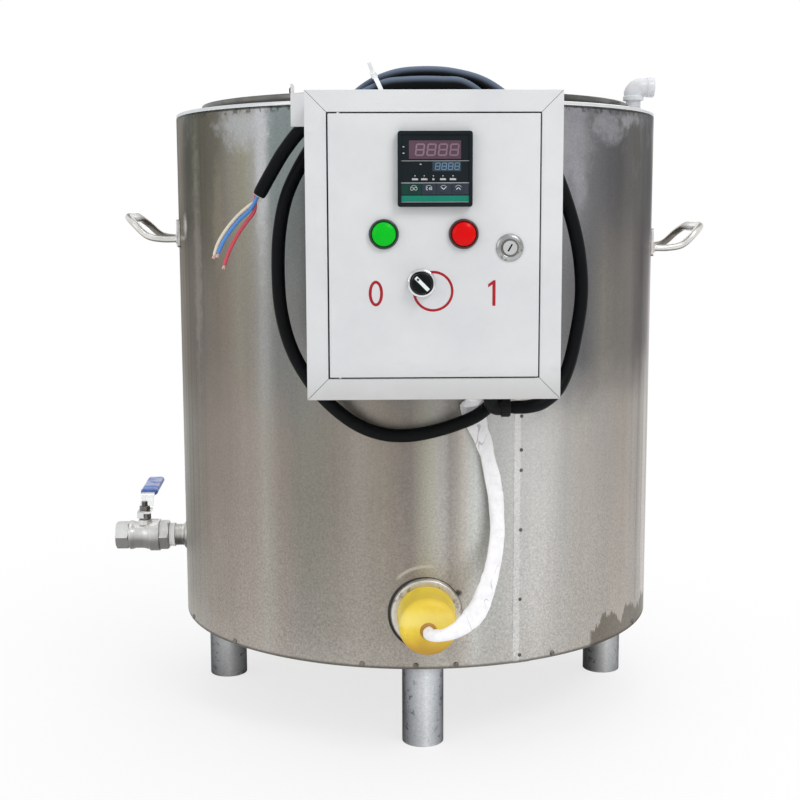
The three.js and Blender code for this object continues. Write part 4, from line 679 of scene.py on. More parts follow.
def roundedOutline(width, height, radius, steps=5):
    outline = []
    for cx, cy, start in ((1, 1, 0), (-1, 1, 90), (-1, -1, 180), (1, -1, 270)):
        middle = (cx * (width / 2 - radius), cy * (height / 2 - radius))
        outline += arcOf(middle, (radius, radius), start, start + 90, steps)
    return outline


def softened(outline, radius, steps=4):
    # Rounds every corner of an open profile but its two ends
    result = [outline[0]]
    for before, corner, after in zip(outline, outline[1:], outline[2:]):
        a, b, c = Vector(before), Vector(corner), Vector(after)
        back, on = a - b, c - b
        reach = min(radius, back.length * 0.45, on.length * 0.45)
        start, end = b + back.normalized() * reach, b + on.normalized() * reach
        for i in range(steps + 1):
            t = i / steps
            spot = start * (1 - t) ** 2 + b * 2 * t * (1 - t) + end * t ** 2
            result.append((spot.x, spot.y))
    result.append(outline[-1])
    return result


def wallOf(a, b):
    # Faces between two rings of points
    count = len(a)
    return [(a[i], b[i], b[(i + 1) % count], a[(i + 1) % count]) for i in range(count)]


def turnedShape(outline, way="up", spot=(0, 0, 0), count=96, soft=None):
    put = facing(way, spot)
    outline = softened(outline, *soft) if soft else outline
    points, rings, faces = [], [], []
    for radius, height in outline:
        if radius < 1e-6:
            rings.append([len(points)])
            points.append(put(0, 0, height))
        else:
            rings.append(list(range(len(points), len(points) + count)))
            points += [put(u, v, height) for u, v in circleOutline(radius, count)]
    pairs = list(zip(rings, rings[1:]))
    if len(rings[0]) > 1 and len(rings[-1]) > 1:
        pairs.append((rings[-1], rings[0]))
    for a, b in pairs:
        if len(a) > 1 and len(b) > 1:
            faces += wallOf(a, b)
        elif len(b) > 1:
            faces += [(a[0], b[i], b[(i + 1) % count]) for i in range(count)]
        elif len(a) > 1:
            faces += [(a[i], b[0], a[(i + 1) % count]) for i in range(count)]
    return points, faces


def hexShape(corner, low, high, way="up", spot=(0, 0, 0), chamfers=(True, True), count=96, bore=0.0):
    # A hexagon whose corners are turned off at 30 degrees, as on a nut
    put = facing(way, spot)
    flat = corner * cos(pi / 6)
    cut = corner - flat
    rise = cut * 0.6
    levels = [(low + rise * i / 4, flat + cut * i / 4 if chamfers[0] else corner) for i in range(5)]
    levels += [(high - rise * (4 - i) / 4, corner - cut * i / 4 if chamfers[1] else corner) for i in range(5)]
    points, rings = [], []
    for height, limit in levels:
        rings.append(list(range(len(points), len(points) + count)))
        for i in range(count):
            angle = 2 * pi * i / count
            radius = min(flat / cos(angle % (pi / 3) - pi / 6), limit)
            points.append(put(radius * cos(angle), radius * sin(angle), height))
    faces = [face for a, b in zip(rings, rings[1:]) for face in wallOf(a, b)]
    if not bore:
        return points, faces + [tuple(rings[0]), tuple(rings[-1])]
    inner = []
    for height in (low, high):
        inner.append(list(range(len(points), len(points) + count)))
        points += [put(u, v, height) for u, v in circleOutline(bore, count)]
    return points, faces + wallOf(rings[0], inner[0]) + wallOf(*inner) + wallOf(inner[1], rings[-1])


def blockShape(x0, x1, y0, y1, z0, z1):
    points = [(x, y, z) for x in (x0, x1) for y in (y0, y1) for z in (z0, z1)]
    return points, [(0, 1, 3, 2), (4, 6, 7, 5), (0, 4, 5, 1), (2, 3, 7, 6), (0, 2, 6, 4), (1, 5, 7, 3)]


def plateShape(outline, low, high, way="up", spot=(0, 0, 0), holes=()):
    put = facing(way, spot)
    loops = [list(outline)] + [list(hole) for hole in holes]
    flat = [Vector((u, v, 0)) for loop in loops for u, v in loop]
    fill = tessellate_polygon([[Vector((u, v, 0)) for u, v in loop] for loop in loops])
    count = len(flat)
    points = [put(p.x, p.y, low) for p in flat] + [put(p.x, p.y, high) for p in flat]
    faces = [tuple(triangle) for triangle in fill] + [tuple(count + i for i in reversed(triangle))
            for triangle in fill]
    base = 0
    for loop in loops:
        for i in range(len(loop)):
            a, b = base + i, base + (i + 1) % len(loop)
            faces.append((a, b, count + b, count + a))
        base += len(loop)
    return points, faces


def smoothLine(points, count):
    # Centripetal curve through the points, walked in equal steps
    spots = [Vector(p) for p in points]
    spots = [spots[0] * 2 - spots[1]] + spots + [spots[-1] * 2 - spots[-2]]
    fine = []
    for four in zip(spots, spots[1:], spots[2:], spots[3:]):
        knots = [0.0]
        for a, b in zip(four, four[1:]):
            knots.append(knots[-1] + (b - a).length ** 0.5)
        for i in range(24):
            t = knots[1] + (knots[2] - knots[1]) * i / 24
            level = list(four)
            for reach in (1, 2, 1):
                first = 1 if len(level) == 2 else 0
                ends = [(knots[k + first], knots[k + first + reach]) for k in range(len(level) - 1)]
                level = [p * ((e - t) / (e - s)) + q * ((t - s) / (e - s)) for p, q,
                        (s, e) in zip(level, level[1:], ends)]
            fine.append(level[0])
    fine.append(spots[-2])
    walked = [0.0]
    for a, b in zip(fine, fine[1:]):
        walked.append(walked[-1] + (b - a).length)
    line, at = [], 0
    for i in range(count + 1):
        goal = walked[-1] * i / count
        while at < len(fine) - 2 and walked[at + 1] < goal:
            at += 1
        span = walked[at + 1] - walked[at]
        line.append(fine[at].lerp(fine[at + 1], (goal - walked[at]) / span if span else 0.0))
    return line


def sweptShape(line, sections, up=(0, 0, 1), flatOn=None):
    # sections is one outline, or a function of the place along the line from 0 to 1;
    # flatOn, if given, says at each spot which way the flat side looks
    line = [Vector(p) for p in line]
    last = len(line) - 1
    ways = [(line[min(i + 1, last)] - line[max(i - 1, 0)]).normalized() for i in range(last + 1)]
    side = ways[0].cross(Vector(up))
    side = side.normalized() if side.length > 1e-4 else ways[0].orthogonal().normalized()
    points, rings = [], []
    for i, (spot, way) in enumerate(zip(line, ways)):
        if flatOn:
            side = way.cross(flatOn(spot, way))
        side = (side - way * side.dot(way)).normalized()
        lift = side.cross(way)
        outline = sections(i / last) if callable(sections) else sections
        rings.append(list(range(len(points), len(points) + len(outline))))
        points += [tuple(spot + side * u + lift * v) for u, v in outline]
    faces = [face for a, b in zip(rings, rings[1:]) for face in wallOf(a, b)]
    return points, faces + [tuple(reversed(rings[0])), tuple(rings[-1])]


def makePiece(name, shape, finish, slotName=None, stands=None, body="tank", sharp=38, rounding=0.0, steps=2):
    mesh = bpy.data.meshes.new(name)
    mesh.from_pydata([onTank(*point) for point in shape[0]], [], [list(face) for face in shape[1]])
    work = bmesh.new()
    work.from_mesh(mesh)
    bmesh.ops.remove_doubles(work, verts=work.verts, dist=1e-6)
    bmesh.ops.dissolve_degenerate(work, edges=work.edges, dist=1e-7)
    bmesh.ops.recalc_face_normals(work, faces=work.faces)
    work.to_mesh(mesh)
    work.free()
    for face in mesh.polygons:
        face.use_smooth = True
    mesh.set_sharp_from_angle(angle=radians(sharp))
    piece = bpy.data.objects.new(name, mesh)
    bpy.context.scene.collection.objects.link(piece)
    mesh.materials.append(finishes[finish])
    if rounding:
        edge = piece.modifiers.new("rounding", "BEVEL")
        edge.width = rounding / 1000
        edge.segments = steps
        edge.limit_method = "ANGLE"
        edge.angle_limit = radians(32)
        edge.harden_normals = True
    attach(piece, body)
    if stands:
        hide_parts(stands)
    return piece


# Power cord, its conductors and its tie

cordSettings = {
    "radius": 7.25,
    "points": [
        (90.3, -339, 403.5), (98, -339, 403.5), (108, -338, 403.7), (125, -331, 407), (143, -320, 420),
        (155, -312, 443), (164, -308, 480), (169, -306, 516), (168, -306, 550), (162, -308, 584), (151, -311, 620),
        (136, -313, 656), (115, -312, 692), (90, -306, 724), (62, -301, 744), (30, -300, 753), (0, -300, 755),
        (-30, -300, 752), (-57, -300.4, 741), (-85, -300, 718), (-110, -299, 691), (-131, -299, 660),
        (-147, -300, 626), (-155, -300, 588), (-157, -300, 545), (-154, -300, 502), (-143, -301, 462),
        (-122, -303, 425), (-97, -305, 398), (-70, -307, 379), (-43, -308.6, 370), (-16, -309.5, 369),
        (11, -311, 374), (36, -315.5, 382.5), (56, -317.4, 391.5), (74, -312, 405.5), (91, -304, 427),
        (106, -301, 458), (115, -300, 500), (118, -299, 545), (115, -298, 590), (107, -298, 634), (94, -299, 674),
        (77, -307, 704), (58, -314, 729), (38, -315.3, 741.4), (18, -315.5, 743), (0, -315.5, 743.4),
        (-20, -315.5, 742.8), (-40, -315.5, 740.6), (-62, -315.6, 731), (-85, -315.6, 720), (-108, -315.5, 709.5),
        (-128, -315, 697), (-147, -312, 675), (-163, -307, 650), (-176, -301, 628),
    ],
    "steps": 620,
    "endTaper": {0: 0.9, 1: 0.97},
    "conductors": [
        # Finish, how far it leaves off the middle of the cord's end (sideways, forward), and its way to its tip
        ("wireWhite", (-2.5, 0.6), [(-188, -300, 615.5), (-199.5, -300, 605.5), (-211.5, -300, 591.5),
                                    (-220.5, -300, 577), (-226.2, -300, 560.5)]),
        ("wireBlue", (0.4, 2.5), [(-185.5, -303, 612.5), (-196.5, -303, 602.5), (-208.2, -303, 588.8),
                                  (-216.8, -303, 575), (-222, -303, 562)]),
        ("wireRed", (2.4, -0.8), [(-181.5, -301, 611), (-190, -301.5, 599.5), (-199.5, -302, 586),
                                  (-209, -303, 568), (-215.5, -304, 549.5)]),
    ],
    "conductorRadius": 2.15, "conductorSteps": 64, "bareFrom": 61,
    "strands": 6, "strandRadius": 0.46, "strandTwist": 2.2,
}


def cordPiece():
    line = smoothLine(cordSettings["points"], cordSettings["steps"])
    outline = circleOutline(cordSettings["radius"], 24)
    last = len(line) - 1

    def section(share):
        spot = round(share * last)
        shrink = cordSettings["endTaper"].get(min(spot, last - spot), 1.0)
        return [(u * shrink, v * shrink) for u, v in outline]

    piece = makePiece("powerCord", sweptShape(line, section), "cord", "black_rubber", "power_cord", sharp=60)
    return piece, line


def conductorPieces(line):
    c = cordSettings
    end, way = line[-1], (line[-1] - line[-3]).normalized()
    sideways = Vector((-way.z, 0, way.x)).normalized()
    pieces = []
    for number, (finish, (aside, forward), spots) in enumerate(c["conductors"], 1):
        start = end - sideways * aside + Vector((0, -forward, 0)) - way * 4
        route = smoothLine([start, start + way * 7] + [Vector(spot) for spot in spots], c["conductorSteps"])
        covered = sweptShape(route[:c["bareFrom"] + 1], circleOutline(c["conductorRadius"] * 0.96, 16))
        pieces.append(makePiece(f"conductor_{number}", covered, finish, "white_plastic", "cord_conductors", sharp=60,
                rounding=0.3))
        strands = []
        for strand in range(c["strands"]):

            def section(share, start=2 * pi * strand / c["strands"]):
                twist = start + share * c["strandTwist"]
                spread = 0.75 + 0.75 * share
                middle = (spread * cos(twist), spread * sin(twist))
                return circleOutline(c["strandRadius"] * (1 - 0.3 * share), 7, middle)

            strands.append(sweptShape(route[c["bareFrom"] - 1:], section))
        pieces.append(makePiece(f"bareTip_{number}", together(*strands), "copper", sharp=60))
    filler = sweptShape([end - way * 1.5, end + way * 1.0], circleOutline(5.4, 20))
    pieces.append(makePiece("cordFiller", filler, "wireWhite", rounding=0.6))
    return pieces


tieSettings = {"spot": -47.5, "above": 560, "play": 2.0, "sheet": 1.3, "half": 2.3, "ribs": 9, "ribPitch": 1.2}


def tiePiece(line):
    t = tieSettings
    high = [p for p in line if p.z > t["above"]]
    crossings = [(b, b - a) for a, b in zip(high, high[1:]) if a.x > t["spot"] >= b.x]
    (outerSpot, outerWay), (innerSpot, innerWay) = crossings[:2]
    way = (outerWay + innerWay).normalized()
    pair = innerSpot - outerSpot
    pair = pair - way * pair.dot(way)
    apart = pair.length
    pair.normalize()
    up = way.cross(pair)
    middle = (outerSpot + innerSpot) / 2
    inner = cordSettings["radius"] + t["play"]
    outer = inner + t["sheet"]

    def put(u, v, w):
        return tuple(middle + pair * u + up * v + way * w)

    loop, hole = [roundedOutline(apart + reach * 2, reach * 2, reach * 0.98, 12) for reach in (outer, inner)]
    parts = [plateShape(loop, -t["half"], t["half"], holes=[hole]),
            blockShape(-3, 3, outer - 0.6, outer + 5.4, -3.2, 3.2),
            blockShape(-0.65, 0.65, outer + 2, outer + 17, -1.9, 1.9)]
    for i in range(t["ribs"]):
        foot = outer + 6 + i * t["ribPitch"]
        parts.append(blockShape(0.65, 0.95, foot, foot + 0.6, -1.4, 1.4))
    points, faces = together(*parts)
    return makePiece("cableTie", ([put(*p) for p in points], faces), "tie", "white_plastic", "cable_tie", sharp=50,
            rounding=0.25)


cordObject, cordLine = cordPiece()
cordEnds = conductorPieces(cordLine)
tieObject = tiePiece(cordLine)
cordPath = [onTank(*p) for p in cordLine]
cordLength = sum((b - a).length for a, b in zip(cordPath, cordPath[1:]))
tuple(cordPath[0])
print("cord laid:", round(cordLength, 3))


# Tank: shell with its lap seam, top ring, floor, legs, pot and lid

tankSettings = {
    "radius": 300, "low": 102, "high": 724, "sheet": 1.5,
    "lapAngle": 21.66, "lapWidth": 22, "lapSheet": 0.8, "lapSteps": 12, "lapEdge": 0.35,
    "rivetAcross": 108.5,
    "rivetLevels": [111, 176, 256, 324, 347, 385, 446, 510, 574, 636, 700],
    "rivet": [(2.1, 0.6), (2.0, 1.2), (1.3, 1.6), (0, 1.75)],
    "screwAngles": [-47.4, -13.5, -1.8, 6.8, 29.7, 62, 95, 131, 166, 201, 238, 268, -70],
    "screwLevel": 106.2,
    "screw": [(3.1, -0.2), (3.1, 0.5), (2.5, 1.4), (1.3, 1.8), (0, 1.9)],
}


def onShell(profile, level, count):
    # A small turned shape on the front of the shell, its heights measured from the shell's skin
    skin = tankSettings["radius"]
    return turnedShape([(reach, skin + height) for reach, height in profile], "front", (0, 0, level), count)


def shellPieces():
    t = tankSettings
    radius, low, high, steps = t["radius"], t["low"], t["high"], t["lapSteps"]
    inside = radius - t["sheet"]
    wall = turnedShape([(inside, low), (radius, low), (radius, high), (inside, high)], count=240)
    half = degrees(t["lapWidth"] / 2 / radius)
    outline = []
    for sheet, span in ((t["lapSheet"], range(steps + 1)), (-0.3, range(steps, -1, -1))):
        for i in span:
            angle = radians(t["lapAngle"] - half + 2 * half * i / steps)
            thinned = t["lapEdge"] if sheet > 0 and i in (0, steps) else 0
            reach = radius + sheet - thinned
            outline.append((reach * sin(angle), -reach * cos(angle)))
    lap = plateShape(outline, low, high)
    makePiece("shellWall", together(wall, lap), "shell", "shell_steel", "outer_shell", sharp=50)
    rivetAngle = degrees(asin(t["rivetAcross"] / radius))
    domes = [spun(onShell(t["rivet"], level, 20), rivetAngle) for level in t["rivetLevels"]]
    makePiece("seamRivets", together(*domes), "rivet", "steel", sharp=60)
    slot = shifted(blockShape(-2.6, 2.6, -radius - 1.96, -radius - 1.6, -0.35, 0.35), 0, 0, t["screwLevel"])
    screw = together(onShell(t["screw"], t["screwLevel"], 24), slot)
    makePiece("edgeScrews", together(*[spun(screw, angle) for angle in t["screwAngles"]]), "screw", "steel", sharp=50)


topSettings = {
    "bead": 2.5, "beadLevel": 726.8, "beadFoot": 725.8, "beadSteps": 18,
    "ring": [(257.2, 724.3), (257.2, 737.3), (258.7, 737.3), (258.7, 726.6), (259.6, 725.8)],
    "floor": [(0, 104), (298.1, 104), (298.1, 118), (296.1, 118), (296.1, 106), (0, 106)],
    "pot": [(11.5, 206.3), (245, 227.0), (256.9, 240), (256.9, 737.6), (263.7, 737.6), (263.7, 739.1),
        (255.4, 739.1), (255.4, 241.5), (244, 228.6), (11.5, 207.8)],
}


def topPieces():
    t = topSettings
    middle = (tankSettings["radius"] - t["bead"], t["beadLevel"])
    bead = arcOf(middle, (t["bead"], t["bead"]), 180, -90, t["beadSteps"])
    bead[0] = (bead[0][0], t["beadFoot"])
    makePiece("topRing", turnedShape(t["ring"] + bead, count=192), "rim", "steel", "top_ring", sharp=50)
    floor = turnedShape(t["floor"], count=160, soft=(1.2, 3))
    makePiece("floorPlate", floor, "zinc", "zinc_steel", "floor_plate", sharp=45)
    pot = turnedShape(t["pot"], count=160, soft=(5, 5))
    makePiece("innerPot", pot, "pot", "steel", "inner_pot", sharp=40)


legSettings = {
    "radius": 24, "offMiddle": 250, "top": 103.9, "weld": (2.6, 3.0), "weldSteps": 10,
    "profile": [(0, 0), (24, 0), (24, 103.7), (21.5, 103.7), (21.5, 3), (0, 3)],
    "angles": {"leg_front": 0, "leg_right": 90, "leg_back": 180, "leg_left": 270},
    "waves": 9, "waveShare": 0.018, "rough": 0.006,
}


def legPieces():
    g = legSettings
    radius, top, (wide, tall) = g["radius"], g["top"], g["weld"]
    tube = turnedShape(g["profile"], count=64, soft=(1.0, 3))
    weld = [(radius, top - tall)]
    for i in range(1, g["weldSteps"]):
        turn = radians(180 * i / g["weldSteps"])
        weld.append((radius + wide * sin(turn) + 0.3, top - tall * cos(turn / 2)))
    bead = turnedShape(weld + [(radius, top)], count=72)
    for name, angle in g["angles"].items():
        points = []
        for x, y, z in bead[0]:
            wave = g["waveShare"] * sin(g["waves"] * atan2(y, x))
            points.append((x * (1 + wave + random.uniform(-g["rough"], g["rough"])), y, z))
        shape = shifted(together(tube, (points, bead[1])), 0, -g["offMiddle"])
        makePiece(name.replace("leg_", "leg") + "Tube", spun(shape, angle), "leg", "stained_steel", name, sharp=40)


def lidPieces():
    panel = softened([(0, 744.4), (203.4, 744.4), (209.2, 739.4), (266.6, 739.4), (267.0, 731.3), (267.4, 731.1),
            (268.2, 731.5),
            (268.2, 739.2), (267.0, 740.6), (209.2, 740.6), (204.2, 745.6), (0, 745.6)], 2.4, 5)
    makePiece("lidPanel", turnedShape(panel, count=192), "lid", "steel", "lid_panel", body="lid", sharp=40)
    knob = [(0, 745.9), (12.6, 745.9), (12.0, 747.2), (9.6, 750.0), (9.0, 754.5), (9.4, 758.6), (12.6, 761.2),
            (17.6, 762.8), (20.4, 764.8), (21, 767.3), (20.2, 769.6), (17.8, 771.8), (13.2, 773.2), (6.2, 773.6),
            (5.4, 772.9),
            (0, 772.9)]
    makePiece("lidKnob", turnedShape(knob, count=72, soft=(1.6, 4)), "black", "black_plastic", "lid_knob", body="lid",
            sharp=45)
    screw = softened([(0, 772.6), (4.6, 772.6), (4.6, 773.3), (3.4, 773.9), (0, 773.9)], 0.4, 3)
    makePiece("knobScrew", turnedShape(screw, count=32), "bright", "steel", body="lid")


shellPieces()
topPieces()
legPieces()
lidPieces()
print("tank dressed")


# Carrying handles

handleSettings = {
    # Out from the feet, along the width and up, each as a share
    "shares": [(0, -0.5, 0), (0.32, -0.5, 0), (0.6, -0.5, 0.14), (0.86, -0.47, 0.68), (1, -0.36, 0.98),
        (1, -0.12, 1)],
    "width": 112, "reach": 58, "rise": 26, "thick": 8, "deep": 12, "corner": 3.6, "steps": 90,
    "plateWide": 30, "plateHigh": 34, "plateDrop": 10, "plateSheet": 3, "plateCorner": 3.5, "plateGap": 0.3,
    "feet": 301.8,
    "weld": 4.2, "weldSpread": 2.4, "weldFoot": 303.2, "weldRise": 2.6, "weldStretch": 1.45, "rough": 0.15,
}


def handleShape(level):
    h = handleSettings
    skin, feet, wide = tankSettings["radius"], h["feet"], h["width"]
    foot = sqrt(feet ** 2 - (wide / 2) ** 2)
    half = [(-foot - (skin + h["reach"] - foot) * out, along * wide, level + up * h["rise"])
            for out, along, up in h["shares"]]
    half[0] = (half[0][0] + 0.6, half[0][1], half[0][2])
    line = smoothLine(half + [(x, -y, z) for x, y, z in reversed(half)], h["steps"])
    shapes = [sweptShape(line, roundedOutline(h["deep"], h["thick"], h["corner"], 6))]
    outline = roundedOutline(h["plateWide"], h["plateHigh"], h["plateCorner"], 5)
    middle = level - h["plateDrop"] + h["plateHigh"] / 2
    weld = [(h["weld"] + h["weldSpread"] * (1 - i / 6) ** 2, h["weldFoot"] + h["weldRise"] * (i / 6))
            for i in range(7)]
    for side in (-1, 1):
        spread = degrees(asin(wide / 2 / feet)) * side
        points, faces = plateShape(outline, 0, h["plateSheet"])
        curved = []
        for u, v, w in points:
            angle, reach = u / feet, skin + h["plateGap"] + w
            curved.append((-reach * cos(angle), reach * sin(angle), middle + v))
        shapes.append(spun((curved, faces), -spread))
        points, faces = turnedShape([(0, 303.0)] + weld + [(0, 305.8)], "left", (0, 0, 0), 40)
        points = [(x + random.uniform(-h["rough"], h["rough"]), y * h["weldStretch"], level + z) for x, y,
                z in points]
        shapes.append(spun((points, faces), -spread))
    return together(*shapes)


for side, level, turned in (("left", 577, 0), ("right", 564, 180)):
    makePiece(side + "Handle", spun(handleShape(level), turned), "handle", "cast_steel", "handle_" + side, sharp=40,
            rounding=0.5)


# Drain pipe and ball valve

valveSettings = {
    "height": 188, "pipe": 14, "bore": 11.5, "pipeStart": 20, "pipeEnd": 333, "socket": 324.6, "collar": 336.6,
    "barrel": 349.6, "barrelEnd": 376.6, "capStart": 376.9, "capEnd": 393.9, "stem": -356.6,
    "threadStart": 307, "threadPitch": 1.8, "threadTurns": 14, "threadDepth": 0.5,
    "flare": [(14, 290), (19.4, 290), (19.2, 300.8), (17.4, 303.2), (14, 305.3)],
    "sump": [(11.5, 176), (14, 176), (14, 206), (11.5, 206)],
    "tape": 14.2, "tapeStart": 316.3, "tapeEnd": 324.4, "tapeTurns": 7, "tapePitch": 1.1,
    "hexCorner": 20, "capCorner": 18.8, "flow": 9.5, "ball": 13.5, "ballSteps": 24,
    "lever": [(-11, 0), (13, 0), (29, 17), (104, 22), (104, 25), (28, 20.2), (12, 3), (-11, 3)],
    "leverFoot": 218.1, "leverHalf": 8.5,
}


def drainPieces():
    v = valveSettings
    spot, pipe, bore = (0, 0, v["height"]), v["pipe"], v["bore"]
    root = pipe - v["threadDepth"]
    thread = [(pipe, v["threadStart"])]
    for i in range(v["threadTurns"]):
        start = v["threadStart"] + i * v["threadPitch"]
        thread += [(pipe, start + 0.6), (root, start + 1.0), (root, start + 1.4), (pipe, start + 1.9)]
    ends = [(pipe, v["pipeEnd"]), (bore, v["pipeEnd"]), (bore, v["pipeStart"])]
    outer = turnedShape([(pipe, v["pipeStart"])] + thread + ends, "left", spot, 72)
    points, faces = turnedShape(v["flare"], "left", spot, 72, soft=(1.2, 4))
    points = [(x, y * (1 + random.uniform(-0.008, 0.008)), z + random.uniform(-0.12, 0.12)) for x, y, z in points]
    sump = turnedShape(v["sump"], count=48)
    makePiece("drainPipe", together(outer, (points, faces), sump), "pipe", "steel", "drain_pipe", sharp=40)
    wound = [(v["tape"], v["tapeStart"])]
    for i in range(v["tapeTurns"]):
        start = v["tapeStart"] + i * v["tapePitch"]
        wound += [(14.9 + random.uniform(-0.1, 0.5), start + 0.1), (15.3 + random.uniform(-0.2, 0.4), start + 0.75)]
    points, faces = turnedShape(wound + [(v["tape"], v["tapeEnd"])], "left", spot, 60)
    points = [(x + random.uniform(-0.12, 0.12), y + random.uniform(-0.15, 0.15), z + random.uniform(-0.15, 0.15))
            for x, y, z in points]
    makePiece("threadTape", (points, faces), "tape", "white_tape", "thread_tape", sharp=70)


def valvePieces():
    v = valveSettings
    height, collar, barrel, barrelEnd = v["height"], v["collar"], v["barrel"], v["barrelEnd"]
    capStart, capEnd, stemX, flow, ball = v["capStart"], v["capEnd"], v["stem"], v["flow"], v["ball"]
    spot, onStem = (0, 0, height), (stemX, 0, 0)
    hexagon = hexShape(v["hexCorner"], v["socket"], collar + 1, "left", spot, (True, False), bore=14.4)
    waist = [(14.4, collar), (21, collar), (21, barrel), (19, barrel + 0.8), (19, barrel + 3), (17.5, barrel + 8),
            (17.5, barrel + 19), (19, barrelEnd - 3), (19, barrelEnd), (15.5, barrelEnd), (15.5, collar + 5),
            (flow, collar + 5), (flow, collar)]
    boss = [(11.5, 15), (9.6, 18), (8.5, 19.6), (8.5, 20.6), (8.1, 21), (4.5, 21), (4.5, 12)]
    boss = softened([(reach, height + rise) for reach, rise in boss], 1.2, 4)
    body = together(hexagon, turnedShape(waist, "left", spot, 96, soft=(1.3, 4)), turnedShape(boss, "up", onStem, 64))
    makePiece("valveBody", body, "valve", "cast_steel", "valve_body", sharp=34)
    capHex = hexShape(v["capCorner"], capStart, capEnd, "left", spot, bore=13.05)
    threads = [(flow, capStart - 1.5), (14.6, capStart - 1.5), (14.6, capStart + 1), (13.2, capStart + 4),
            (13.2, capEnd - 0.6)]
    for i in range(5):
        start = capEnd - 1.2 - i * 1.7
        threads += [(12.9, start), (12.1, start - 0.6), (12.1, start - 0.9), (12.9, start - 1.5)]
    threads += [(12.6, capEnd - 10), (flow, capEnd - 10.6)]
    cap = together(capHex, turnedShape(threads, "left", spot, 72))
    makePiece("valveEnd", cap, "valve", "cast_steel", "valve_end", sharp=34)
    nut = hexShape(8, 209.3, 217.8, "up", onStem, bore=4.5)
    makePiece("packingNut", nut, "nut", "cast_steel", "packing_nut", sharp=34)
    # The parts below turn with the lever
    mouth = degrees(asin(flow / ball))
    sphere = [(x, -z) for z, x in arcOf((0, 0), (ball, ball), mouth, 180 - mouth, v["ballSteps"])]
    makePiece("valveBall", turnedShape(sphere, "front", (stemX, 0, height), 72), "chrome", "chrome", "valve_ball",
            body="valve")
    stem = [(0, 201.8), (4.2, 201.8), (4.2, 226.5)]
    for i in range(5):
        start = 227 + i * 1.1
        stem += [(4.2, start), (3.8, start + 0.3), (3.8, start + 0.6), (4.2, start + 0.9)]
    stem = turnedShape(stem + [(4.1, 232.4), (3.5, 233), (0, 233)], "up", onStem, 40)
    tang = shifted(blockShape(-1.5, 1.5, -3.5, 3.5, 199, 203), stemX)
    parts = together(stem, hexShape(7, 221.4, 226.9, "up", onStem), tang)
    makePiece("valveStem", parts, "nut", "cast_steel", "valve_stem", body="valve", sharp=34)
    washer = softened([(4.4, 221.15), (8.2, 221.15), (8.2, 221.5), (4.4, 221.5)], 0.1, 2)
    makePiece("leverWasher", turnedShape(washer, "up", onStem, 48), "bright", "steel", body="valve", sharp=40)
    points, faces = plateShape(softened(v["lever"], 3.2, 5), -v["leverHalf"], v["leverHalf"])
    lever = [(stemX + w, y, v["leverFoot"] + z) for y, z, w in points], faces
    lug = blockShape(stemX - 8.4, stemX, -12.5, -9.5, 212.6, 220.2)
    makePiece("valveLever", together(lever, lug), "bright", "steel", "valve_lever", body="valve", sharp=40,
            rounding=0.7, steps=3)


sleeveSettings = {
    "length": 70, "fall": (75, 5), "start": (106.6, 23.6), "wide": 22.2, "thick": 8.2,
    "nose": 0.05, "noseShare": 0.62, "lip": 0.35, "lipSpan": (0.90, 0.955), "tail": 0.985, "tailShare": 0.93,
}


def sleevePiece():
    s = sleeveSettings
    tilt = atan2(s["fall"][1], s["fall"][0])
    start = Vector((valveSettings["stem"], s["start"][0], valveSettings["leverFoot"] + s["start"][1]))
    way = Vector((0, -cos(tilt), -sin(tilt)))

    def section(share):
        bulge = sqrt(max(0.0, 1 - (1 - min(share / s["nose"], 1)) ** 2))
        rounding = min(1.0, s["noseShare"] + (1 - s["noseShare"]) * bulge)
        lip = s["lip"] if s["lipSpan"][0] < share < s["lipSpan"][1] else 0.0
        narrow = 1.0 if share < s["tail"] else s["tailShare"]
        wide, thick = (s["wide"] * rounding + lip * 2) * narrow, (s["thick"] * rounding + lip) * narrow
        return roundedOutline(wide, thick, thick / 2 - 0.25, 8)

    line = [start + way * i for i in range(s["length"] + 1)]
    return makePiece("leverSleeve", sweptShape(line, section), "blue", "blue_plastic", "lever_sleeve", body="valve",
            sharp=60)


drainPieces()
valvePieces()
sleevePiece()
print("valve dressed")


# Heater: ring on the shell, hexagon, terminal cap and the wrapped lead

heaterSettings = {
    "spot": (2, 0, 167), "holeSpot": (2, 0, 164), "sealShift": (-1.3, 0, -0.6),
    "seal": [(24, 292), (41.6, 292), (41.6, 300.6), (40.6, 301.4), (24, 301.4)],
    "ring": [(24, 292), (40, 296), (40, 302.2), (38.6, 305.4), (36.6, 306), (29.6, 306), (27, 307.4), (27, 312),
        (24, 312)],
    "inside": [(0, 355.6), (20, 355.6), (27, 352), (29.5, 345)],
    "cap": [(29.5, 306.4), (32, 306.4), (32.6, 307.4), (32.6, 310.6), (31.8, 311.6), (31.8, 349.3)],
    "capCorner": 9, "capFace": [(12, 358.3), (11.2, 358.15), (0, 358.15)],
    "collar": [(6.0, 357.4), (9.4, 357.9), (8.6, 359.4), (6.6, 359.8), (6.0, 359.4)],
}


